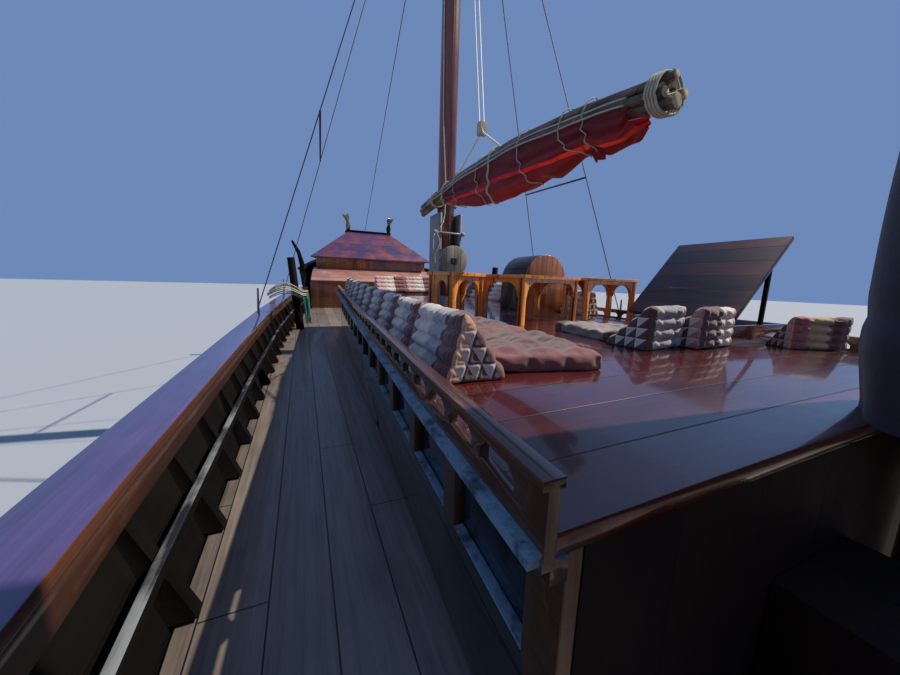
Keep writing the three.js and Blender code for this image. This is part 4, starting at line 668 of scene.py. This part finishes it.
relief = add_node(tree, "Math", SCALE_AND_ADD, {0: weave, 1: 0.05, 2: crinkle})
bump = add_node(tree, "Bump", {}, {"Height": relief, "Strength": 0.5, "Distance": 0.02})
cloth_front = add_node(
    tree, "BsdfPrincipled", {},
    {"Base Color": cloth_colour.outputs[2], "Roughness": 0.75, "Sheen Weight": 0.2, "Normal": bump},
)
cloth_through = add_node(tree, "BsdfTranslucent", {}, {"Color": cloth_colour.outputs[2]})
surface = add_node(tree, "MixShader", {}, {0: 0.38, 1: cloth_front, 2: cloth_through})
add_node(tree, "OutputMaterial", {}, {"Surface": surface})


# Brighter red low on the bag, darker red high up: painted light, for the sun shining through the lower cloth.
def sail_dye_and_painted_glow(centre):
    share = (centre.z - at(sail_foot, centre.x)) / (at(spar_line, centre.x) - at(sail_foot, centre.x))
    share += 0.12 * noise.noise(centre * 2.5)
    if share < 0.26:
        return "#a8241b"
    if share < 0.4:
        return "#951a1b"
    return "#7f131b"


paint(sail_mesh, sail_dye_and_painted_glow)
sail = placed("sail_cloth", sail_mesh, sail_canvas, smooth=True)
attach(sail, "sail_bundle")
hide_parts("main_sail")

# A corner of the sail hangs out of the bag as a flap.
flap_mesh = bpy.data.meshes.new("sail_flap")
flap_points = []
flap_rows, flap_columns = 10, 6
for i in range(flap_rows + 1):
    for j in range(flap_columns + 1):
        down, along_flap = i / flap_rows, j / flap_columns
        flap_points.append(
            (
                -3.19 - 0.12 * along_flap - 0.03 * down,
                0.4 + 0.02 * math.sin(9 * along_flap + 4 * down) - 0.04 * down,
                3.86 - 0.16 * down - 0.03 * along_flap * (1 - down),
            )
        )
flap_mesh.from_pydata(flap_points, [], cloth_grid(flap_rows, flap_columns))
paint(flap_mesh, lambda centre: "#8f141c")
flap = placed("sail_flap", flap_mesh, sail_canvas, smooth=True)
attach(flap, "sail_bundle")

# Two white bolt ropes are sewn along the sail's upper edge, and lashings of cream line go round the bag.
white_rope = rope_finish("white_polyester", "#e6e4dc", "#a9a69a")
bolt_steps = 90
for i, (rise, out) in enumerate(((0.0, 0.135), (0.055, 0.12))):
    line = [
        (x, bundle_y + out + 0.004 * math.sin(7 * x), at(spar_line, x) + rise + 0.006 * math.sin(5 * x + i))
        for x in [0.7 - 4.25 * k / bolt_steps for k in range(bolt_steps + 1)]
    ]
    rope_on("sail_bundle", f"bolt_rope_{i + 1}", line, 0.008, 6, white_rope)


def loop_round(x_top, x_foot, out, turns, pitch=0.0, per_turn=64):
    # Over the spars and down round the bag, or round the bare spars where there is no cloth.
    points = []
    for k in range(round(per_turn * turns) + 1):
        angle = 2 * math.pi * (0.25 + k / per_turn)
        low = max(0, -math.sin(angle))
        x = x_top + (x_foot - x_top) * low**1.3 + pitch * k / per_turn
        top = at(spar_line, x)
        if math.sin(angle) < 0 and sail_aft < x < 0:
            point = bag(x, -angle / math.pi % 2 if -angle / math.pi % 2 <= 1 else 0, out)
        elif math.sin(angle) < 0:
            point = Vector(
                (x, bundle_y + (0.1 + out) * math.cos(angle), top + (0.06 + out) * math.sin(angle))
            )
        else:
            point = Vector(
                (x, bundle_y + (0.12 + out) * math.cos(angle), top + (0.175 + out) * math.sin(angle))
            )
        points.append(point)
    return points


lashing_line = ((-2.21, -2.47), (-2.86, -3.12), (-3.14, -3.25), (-1.25, -1.42), (-0.5, -0.62))
for i, (x_top, x_foot) in enumerate(lashing_line):
    points = loop_round(x_top, x_foot, 0.014, 0.97)
    rope_on("sail_bundle", f"lashing_{i + 1}", points, 0.006, 8, cream_rope)
for i, (x, turns, out) in enumerate(
    ((0.42, 3.0, 0.012), (-0.1, 3.0, 0.012), (-1.62, 2.0, 0.012), (-3.8, 4.0, 0.014))
):
    points = loop_round(x, x, out, turns, 0.024)
    rope_on("sail_bundle", f"spar_lashing_{i + 1}", points, 0.009, 8, cream_rope)

# Halyard of white line, its two falls going down to a pale block, with a sling from there to the spars.
dress(
    ["main_halyard"], planked("white_braid", "Z", "Y", 0.5, "#efede6", "#c9c6bd", "#8f8b80", 0.0, 0.6), 0.001,
    60,
)
paint_faces(
    ["main_halyard"], planked("pale_block_wood", "Z", "Y", 0.5, "#b9a98c", "#7d6d53", "#4a3f2f", 0.3, 0.4),
    lambda c, n: 4.7 < c.z < 4.88 or c.z > 12.88,
)

# Main and mizzen shrouds and forestay of galvanised wire, gone dark, with rigging screws at their feet. The
# bar between the port pair is wrapped in tarred stuff, and the one to starboard is painted dark red.
dark_wire = planked("dark_galvanised_wire", "Z", "Y", 0.5, "#5c5e62", "#2f3033", "#151515", 0.0, 0.45)
wires = ["shrouds_main_port", "shrouds_main_stbd", "shroud_mizzen_port", "shroud_mizzen_stbd", "forestay"]
dress(wires, dark_wire, 0.001, 60)
spreader_paint = planked("dark_red_bar", "X", "Z", 0.5, "#4a2626", "#2a1515", "#150a0a", 0.2, 0.5)
paint_faces(["shrouds_main_stbd"], spreader_paint, lambda c, n: 4.7 < c.z < 4.88 and abs(n.x) < 0.35)
bar_wrapping = planked("tarred_wrapping", "X", "Z", 0.09, "#54402f", "#241a14", "#120c08", 0.0, 0.8)
paint_faces(["shrouds_main_port"], bar_wrapping, lambda c, n: 5.3 < c.z < 5.55 and 1.5 < c.x < 3.1)


def wound(a, b, radius, turns, per_turn=14):
    # Turns of rope laid close round the line from a to b.
    line = (b - a).normalized()
    across = line.orthogonal().normalized()
    other = line.cross(across)
    points = []
    for k in range(turns * per_turn + 1):
        angle = 2 * math.pi * k / per_turn
        spot = a + (b - a) * (k / (turns * per_turn))
        points.append(spot + (across * math.cos(angle) + other * math.sin(angle)) * radius)
    return points


# A white rope comes down the mast's port after side, inside the furled sail's swing, to the pin that crosses
# the tabernacle, where it is belayed in close turns, and two tails hang from it down to the reel.
tail_path = [
    (0.85, 0.135, 12.8), (0.82, 0.19, 11.9), (0.8, 0.172, 8.0), (0.74, 0.15, 5.6), (0.671, 0.101, 4.5),
    (0.671, 0.101, 3.95), (0.612, 0.15, 3.8), (0.6, 0.21, 3.7), (0.6, 0.26, 3.64),
]
rope_on("boat", "halyard_tail", tail_path, 0.01, 8, white_rope)
for i, (y0, y1) in enumerate(((0.255, 0.32), (-0.29, -0.25))):
    points = wound(Vector((0.63, y0, 3.6)), Vector((0.63, y1, 3.6)), 0.036, 4)
    rope_on("boat", f"pin_turns_{i + 1}", points, 0.011, 8, cream_rope)
tail_steps = 24
for i, (y0, drop, sway) in enumerate(((0.33, 0.62, 0.03), (0.29, 0.46, -0.05))):
    hang = []
    for k in range(tail_steps + 1):
        x = 0.59 - 0.03 * math.sin(math.pi * k / tail_steps) - 0.02 * i
        hang.append((x, y0 + sway * math.sin(math.pi * k / 16), 3.57 - drop * k / tail_steps))
    rope = rope_on("boat", f"hanging_tail_{i + 1}", hang, 0.009, 8, cream_rope)

# Mizzen sail furled inside a cover of dark blue canvas, laced round the mast: it hangs in long upright folds
# from its neck and has a seam round it near the foot.
cover_rings = (
    (2.24, 0.215, 0.29, 0.415), (2.48, 0.22, 0.32, 0.45), (3.5, 0.2, 0.315, 0.43), (4.7, 0.15, 0.29, 0.37),
    (5.9, 0.07, 0.24, 0.28), (6.35, 0.02, 0.185, 0.19),
)
cover_low, cover_high, cover_round = 2.19, 6.345, 96
cover_mesh = bpy.data.meshes.new("mizzen_cover_cloth")
cover_points = []
cover_steps, cover_length = 90, 4.12
for i in range(cover_steps + 1):
    z = cover_low + (cover_high - cover_low) * i / cover_steps
    dy = at([(r[0], r[1]) for r in cover_rings], z)
    fore = at([(r[0], r[2]) for r in cover_rings], z)
    wide = at([(r[0], r[3]) for r in cover_rings], z)
    for j in range(cover_round):
        angle = 2 * math.pi * j / cover_round
        fold = 0.012 * math.sin(5 * angle + 1.2 * z) + 0.03 * noise.noise(
            Vector((2.2 * math.cos(angle), 2.2 * math.sin(angle), z * 0.8))
        )
        hem = -0.012 * math.exp(-(((z - 2.62) / 0.03) ** 2)) - 0.02 * math.exp(-(((z - 6.28) / 0.03) ** 2))
        grow = 1.035 + fold / 0.35 + hem / 0.35
        cover_points.append((-5.18 + fore * grow * math.cos(angle), dy + wide * grow * math.sin(angle), z))
cover_faces = [
    (a, b, b + cover_round, a + cover_round)
    for i in range(cover_steps)
    for j in range(cover_round)
    for a, b in [(i * cover_round + j, i * cover_round + (j + 1) % cover_round)]
]
cover_mesh.from_pydata(cover_points, [], cover_faces)
cover_canvas, tree = new_material("dark_blue_canvas")
place = add_node(tree, "TexCoord", {}, {}).outputs["Object"]
split = add_node(tree, "SeparateXYZ", {}, {"Vector": place})
faded = add_node(tree, "TexNoise", {}, {"Vector": place, "Scale": 3.0, "Detail": 7.0, "Roughness": 0.65})
shift = add_node(tree, "Math", SCALE_AND_ADD, {0: faded, 1: 0.5, 2: split.outputs["Z"]})
low = add_node(
    tree, "MapRange", {}, {"Value": shift, "From Min": 2.75, "From Max": 3.0, "To Min": 1.0, "To Max": 0.0}
)
tone = add_node(tree, "ValToRGB", {"stops": ((0.35, "#0f1319"), (0.7, "#262c36"))}, {"Fac": faded})
purple = add_node(tree, "Mix", OF_COLOURS, {0: low, 6: tone, 7: linear("#2b2230")})
thread = add_node(tree, "TexNoise", {}, {"Vector": place, "Scale": 220.0, "Detail": 2.0})
relief = add_node(tree, "Math", SCALE_AND_ADD, {0: thread, 1: 0.1, 2: faded})
bump = add_node(tree, "Bump", {}, {"Height": relief, "Strength": 0.5, "Distance": 0.02})
surface = add_node(
    tree, "BsdfPrincipled", {},
    {"Base Color": purple.outputs[2], "Roughness": 0.7, "Sheen Weight": 0.15, "Normal": bump},
)
add_node(tree, "OutputMaterial", {}, {"Surface": surface})
cover = placed("mizzen_cover_cloth", cover_mesh, cover_canvas, smooth=True)
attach(cover, "boat")
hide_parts("mizzen_cover")

# Thai triangle cushions on the roof. Each back cushion is ten kapok-filled cotton rolls of triangular
# section, sewn together four high; a stack of four shows on its upright back, and its ends are pieced from
# small cream, peach and brown triangles. Flat mats of the same cloth lie at its foot. The cotton is woven in
# bands across the roll: maroon at the ends, grey and cream between them.
cotton, tree = new_material("woven_cotton_cushion_cloth")
dye_and_painted_glow = add_node(tree, "Attribute", {"attribute_name": "dye_and_painted_glow"}, {})
place = add_node(tree, "TexCoord", {}, {}).outputs["Object"]
# Threads about 1 mm apart are too fine to show, so the weave is drawn 4 mm coarse, with slubs over it.
weave = add_node(tree, "TexNoise", {}, {"Vector": place, "Scale": 260.0, "Detail": 3.0})
slub = add_node(tree, "TexNoise", {}, {"Vector": place, "Scale": 22.0, "Detail": 5.0, "Roughness": 0.65})
fade = add_node(tree, "TexNoise", {}, {"Vector": place, "Scale": 3.2, "Detail": 4.0})
light = add_node(tree, "Math", SCALE_AND_ADD, {0: slub, 1: 0.75, 2: 0.3})
faded = add_node(tree, "Math", SCALE_AND_ADD, {0: fade, 1: 0.7, 2: light})
speckled = add_node(tree, "Math", SCALE_AND_ADD, {0: weave, 1: 0.35, 2: faded})
level_light = add_node(tree, "Math", {"operation": "ADD"}, {0: speckled, 1: -0.22})
cloth_colour = add_node(
    tree, "Mix", {"data_type": "RGBA", "blend_type": "MULTIPLY"}, {0: 1.0, 6: dye_and_painted_glow, 7: level_light}
)
relief = add_node(tree, "Math", SCALE_AND_ADD, {0: weave, 1: 0.4, 2: slub})
bump = add_node(tree, "Bump", {}, {"Height": relief, "Strength": 0.4, "Distance": 0.006})
surface = add_node(
    tree, "BsdfPrincipled", {},
    {
        "Base Color": cloth_colour.outputs[2], "Roughness": 0.88, "Sheen Weight": 0.35,
        "Sheen Roughness": 0.5, "Normal": bump,
    },
)
add_node(tree, "OutputMaterial", {}, {"Surface": surface})


def swell(mesh, name, seams, slack, pressure):
    # The sewn seams are held and the cloth between them, cut a little larger, is filled until it is tight.
    piece = bpy.data.objects.new(name, mesh)
    bpy.context.scene.collection.objects.link(piece)
    held = piece.vertex_groups.new(name="seams")
    held.add(seams, 1.0, "REPLACE")
    cloth = piece.modifiers.new("filled", "CLOTH")
    cloth.settings.quality = 6
    cloth.settings.mass = 0.3
    cloth.settings.tension_stiffness = 20
    cloth.settings.compression_stiffness = 20
    cloth.settings.shear_stiffness = 6
    cloth.settings.bending_stiffness = 0.15
    cloth.settings.vertex_group_mass = "seams"
    cloth.settings.use_pressure = True
    cloth.settings.uniform_pressure_force = pressure
    cloth.settings.shrink_min = -slack
    cloth.settings.effector_weights.gravity = 0
    cloth.collision_settings.use_collision = False
    cloth.collision_settings.use_self_collision = False
    scene = bpy.context.scene
    for step in range(1, 21):
        scene.frame_set(step)
    bpy.context.view_layer.update()
    graph = bpy.context.evaluated_depsgraph_get()
    filled = bpy.data.meshes.new_from_object(piece.evaluated_get(graph))
    scene.frame_set(1)
    bpy.data.objects.remove(piece)
    return filled


ROLLS, ROLL_STEPS, CLOTH_STEP = 4, 7, 0.022
AT_END, AT_SEAM = 1e-4, 0.02


def band_at(bands, share):
    # The colour of the woven band at this share of the length.
    for limit, shade in bands:
        if share <= limit:
            return shade
    return bands[-1][1]


def back_cushion(name, length, depth, height, bands, ends):
    # Lies along X from 0 to length, its upright back at y = 0 and its slope running down to y = depth.
    steps = ROLLS * ROLL_STEPS
    bm = bmesh.new()
    corners = [bm.verts.new(p) for p in ((0, 0, 0), (0, depth, 0), (0, 0, height))]
    bm.faces.new(corners)
    bmesh.ops.subdivide_edges(bm, edges=bm.edges[:], cuts=steps - 1, use_grid_fill=True)
    grown = bmesh.ops.extrude_face_region(bm, geom=bm.faces[:])
    top = [g for g in grown["geom"] if isinstance(g, bmesh.types.BMVert)]
    bmesh.ops.translate(bm, verts=top, vec=(length, 0, 0))
    long_edges = [e for e in bm.edges if abs(e.verts[0].co.x - e.verts[1].co.x) > length / 2]
    rings = max(12, round(length / CLOTH_STEP))
    bmesh.ops.subdivide_edges(bm, edges=long_edges, cuts=rings - 1, use_grid_fill=True)
    bmesh.ops.recalc_face_normals(bm, faces=bm.faces[:])

    def cell(point):
        return point.y / depth * ROLLS, point.z / height * ROLLS

    places = [(v, *cell(v.co)) for v in bm.verts]

    def colour_of(centre):
        i, j = cell(centre)
        if centre.x < AT_END or centre.x > length - AT_END:
            if (i % 1) + (j % 1) > 1:
                return ends[0]
            return ends[1] if i < 1 else ends[2]
        return band_at(bands, centre.x / length)

    def seam(i, j, flat_end):
        on_i, on_j, on_slope = (abs(k - round(k)) < AT_SEAM for k in (i, j, i + j))
        return (on_i and on_j) or (flat_end and (on_i or on_j or on_slope))

    mesh = bpy.data.meshes.new(name)
    bm.to_mesh(mesh)
    paint(mesh, colour_of)
    seams = []
    for v, i, j in places:
        flat_end = v.co.x < AT_END or v.co.x > length - AT_END
        if seam(i, j, flat_end):
            seams.append(v.index)
        # Each roll stands out in a half round between its seams, less towards its gathered ends.
        gathered = min(1.0, 0.35 + min(v.co.x, length - v.co.x) / 0.07)
        round_out = 0.034 * gathered * abs(
            math.sin(math.pi * (i if j < AT_SEAM or i + j > ROLLS - AT_SEAM else j))
        ) ** 0.7
        if i < AT_SEAM and AT_SEAM < j < ROLLS - AT_SEAM:
            mesh.vertices[v.index].co.y -= round_out
        elif j < AT_SEAM and i > AT_SEAM:
            mesh.vertices[v.index].co.z -= round_out * 0.25
        elif i + j > ROLLS - AT_SEAM:
            slope = Vector((0, height, depth)).normalized()
            mesh.vertices[v.index].co += slope * round_out
    bm.free()
    return swell(mesh, name, seams, 0.1, 5.0)


def mat(name, length, width, thick, bands, folds):
    # A flat pad, sewn round its edges and through in lines along X.
    bm = bmesh.new()
    bmesh.ops.create_cube(bm, size=1)
    bmesh.ops.transform(bm, matrix=Matrix.Diagonal((length, width, thick, 1)), verts=bm.verts[:])
    bmesh.ops.translate(bm, verts=bm.verts[:], vec=(length / 2, width / 2, thick / 2))
    for axis, count in ((0, round(length / CLOTH_STEP)), (1, folds * 6), (2, 4)):
        lines = [e for e in bm.edges if abs((e.verts[0].co - e.verts[1].co).normalized()[axis]) > 0.9]
        bmesh.ops.subdivide_edges(bm, edges=lines, cuts=count - 1, use_grid_fill=True)
    bmesh.ops.recalc_face_normals(bm, faces=bm.faces[:])
    mesh = bpy.data.meshes.new(name)
    bm.to_mesh(mesh)
    bm.free()
    paint(mesh, lambda centre: band_at(bands, centre.x / length))
    seams = []
    for v in mesh.vertices:
        line = v.co.y / width * folds
        outer = min(v.co.x, length - v.co.x) < AT_END or min(v.co.y, width - v.co.y) < AT_END
        flat = v.co.z < AT_END or v.co.z > thick - AT_END
        if flat and (abs(line - round(line)) < AT_SEAM or outer):
            seams.append(v.index)
    return swell(mesh, name, seams, 0.12, 4.0)


# The unevenness has a fixed seed, because without one it would follow the clock.
noise.seed_set(1)


def lay_down(mesh, name, matrix, waver, node):
    # Put in its place, made a little uneven, as a filled cushion is that has been sat on.
    mesh = mesh.copy()
    mesh.name = name
    mesh.transform(matrix)
    for v in mesh.vertices:
        v.co += noise.noise_vector(v.co * 3.1) * waver + noise.noise_vector(v.co * 9.0) * waver * 0.35
    if matrix.determinant() < 0:
        mesh.flip_normals()
    mesh.materials.clear()
    piece = placed(name, mesh, cotton, smooth=True)
    soft = piece.modifiers.new("soft", "SUBSURF")
    soft.levels = soft.render_levels = 1
    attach(piece, "boat")
    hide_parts(node)


MAROON, CREAM, GREY, PEACH, BROWN = "#6e4240", "#cfc3b2", "#a49d9c", "#d2a184", "#5a3f3b"
banded = ((0.24, MAROON), (0.5, GREY), (0.9, CREAM), (1.0, MAROON))


def back_place(x, y, lean, length, flip=1):
    # The upright back stands on the line from (x, y), leans inwards a little, and the slope faces amidships.
    foot = roof_top(x, y) + 0.01
    return (
        Matrix.Translation((x, y, foot))
        @ Matrix.Rotation(lean, 4, "Z")
        @ Matrix.Diagonal((length, -flip, 1, 1))
        @ Matrix(((1, 0, 0, 0), (0, 1, 0.28, 0), (0, 0, 1, 0), (0, 0, 0, 1)))
    )


row_cushion = back_cushion("row_cushion", 1.0, 0.34, 0.355, banded, (CREAM, PEACH, BROWN))
row_joints = (-3.98, -3.2, -2.5, -1.79, -0.97, -0.2, 0.6, 1.4, 2.2, 2.9, 3.55)
for i, (x0, x1) in enumerate(zip(row_joints, row_joints[1:])):
    back = 2.0 - side_slope * (x0 + 5.0)
    matrix = back_place(x0 + 0.005, back, -side_slope, x1 - x0 - 0.012)
    lay_down(row_cushion, f"cushion_port_{i + 1}", matrix, 0.012, "cushions_port")

grey_bands = ((0.14, BROWN), (0.4, GREY), (0.8, "#8f8a8c"), (1.0, GREY))
pair_port = back_cushion("pair_port", 0.5, 0.36, 0.345, grey_bands, ("#d9d3c8", BROWN, BROWN))
pair_stbd = back_cushion(
    "pair_starboard", 0.54, 0.36, 0.345, ((0.5, BROWN), (0.92, CREAM), (1.0, "#b98a78")),
    (CREAM, "#b98a78", BROWN),
)
turned_aft = Matrix(((0, 1, 0, 0), (-1, 0, 0, 0), (0, 0, 1, 0), (0, 0, 0, 1)))
for name, mesh, x, y, lean in (
    ("cushion_mid_port", pair_port, -3.71, 0.14, 0.1), ("cushion_mid_starboard", pair_stbd, -3.79, -0.38, 0.1)
):
    matrix = Matrix.Translation((x, y, roof_top(x, y) + 0.004)) @ Matrix.Rotation(lean, 4, "Z") @ turned_aft
    lay_down(mesh, name, matrix, 0.01, "cushions_mid")
far_cushion = back_cushion(
    "far_cushion", 0.54, 0.22, 0.3, ((0.3, "#9c5a54"), (0.62, "#b49a6c"), (1.0, MAROON)),
    (CREAM, PEACH, MAROON),
)
matrix = Matrix.Translation((-3.95, -1.43, roof_top(-4, -1.6) + 0.004)) @ Matrix.Rotation(
    -0.37, 4, "Z"
) @ turned_aft
lay_down(far_cushion, "cushion_starboard", matrix, 0.01, "cushion_stbd")

# More back cushions stand across the fore end of the roof and along its starboard rail.
fore_cushion = back_cushion(
    "fore_cushion", 0.8, 0.36, 0.39, ((0.3, "#c9a39c"), (0.62, CREAM), (1.0, MAROON)), (CREAM, PEACH, MAROON)
)
for i in range(3):
    y = 0.88 - 0.79 * i
    matrix = Matrix.Translation((3.48, y, roof_top(3.4, y) + 0.006)) @ turned_aft @ Matrix.Diagonal(
        (0.98, -1, 1, 1)
    )
    lay_down(fore_cushion, f"cushion_fore_{i + 1}", matrix, 0.01, "cushions_fore")
for i in range(6):
    x = -1.36 + 0.8 * i
    back = -2.0 + side_slope * (x + 5.0)
    matrix = back_place(x, back, side_slope, 0.985, -1)
    lay_down(fore_cushion, f"cushion_rail_{i + 1}", matrix, 0.01, "cushions_fore")

# Mats, 80 to 85 mm thick, sewn through in three strips: two maroon ones along the foot of the port row, the
# near one askew, and a grey one before the pair.
maroon_mat = mat("maroon_mat", 0.86, 0.7, 0.085, ((0.12, "#7a4a4a"), (1.0, "#644744")), 3)
grey_mat = mat("grey_mat", 0.8, 0.52, 0.08, ((0.2, BROWN), (0.85, "#8b7d78"), (1.0, BROWN)), 3)


def mat_at(mesh, name, x, y, turn, node):
    place = Matrix.Translation((x, y, roof_top(x, y) + 0.004)) @ Matrix.Rotation(math.radians(turn), 4, "Z")
    lay_down(mesh, name, place, 0.008, node)


mat_at(maroon_mat, "mat_port_1", -4.04, 0.95, -14, "cushions_port")
mat_at(maroon_mat, "mat_port_2", -3.12, 0.82, -2, "cushions_port")
mat_at(grey_mat, "mat_mid", -3.43, -0.4, 0, "cushions_mid")
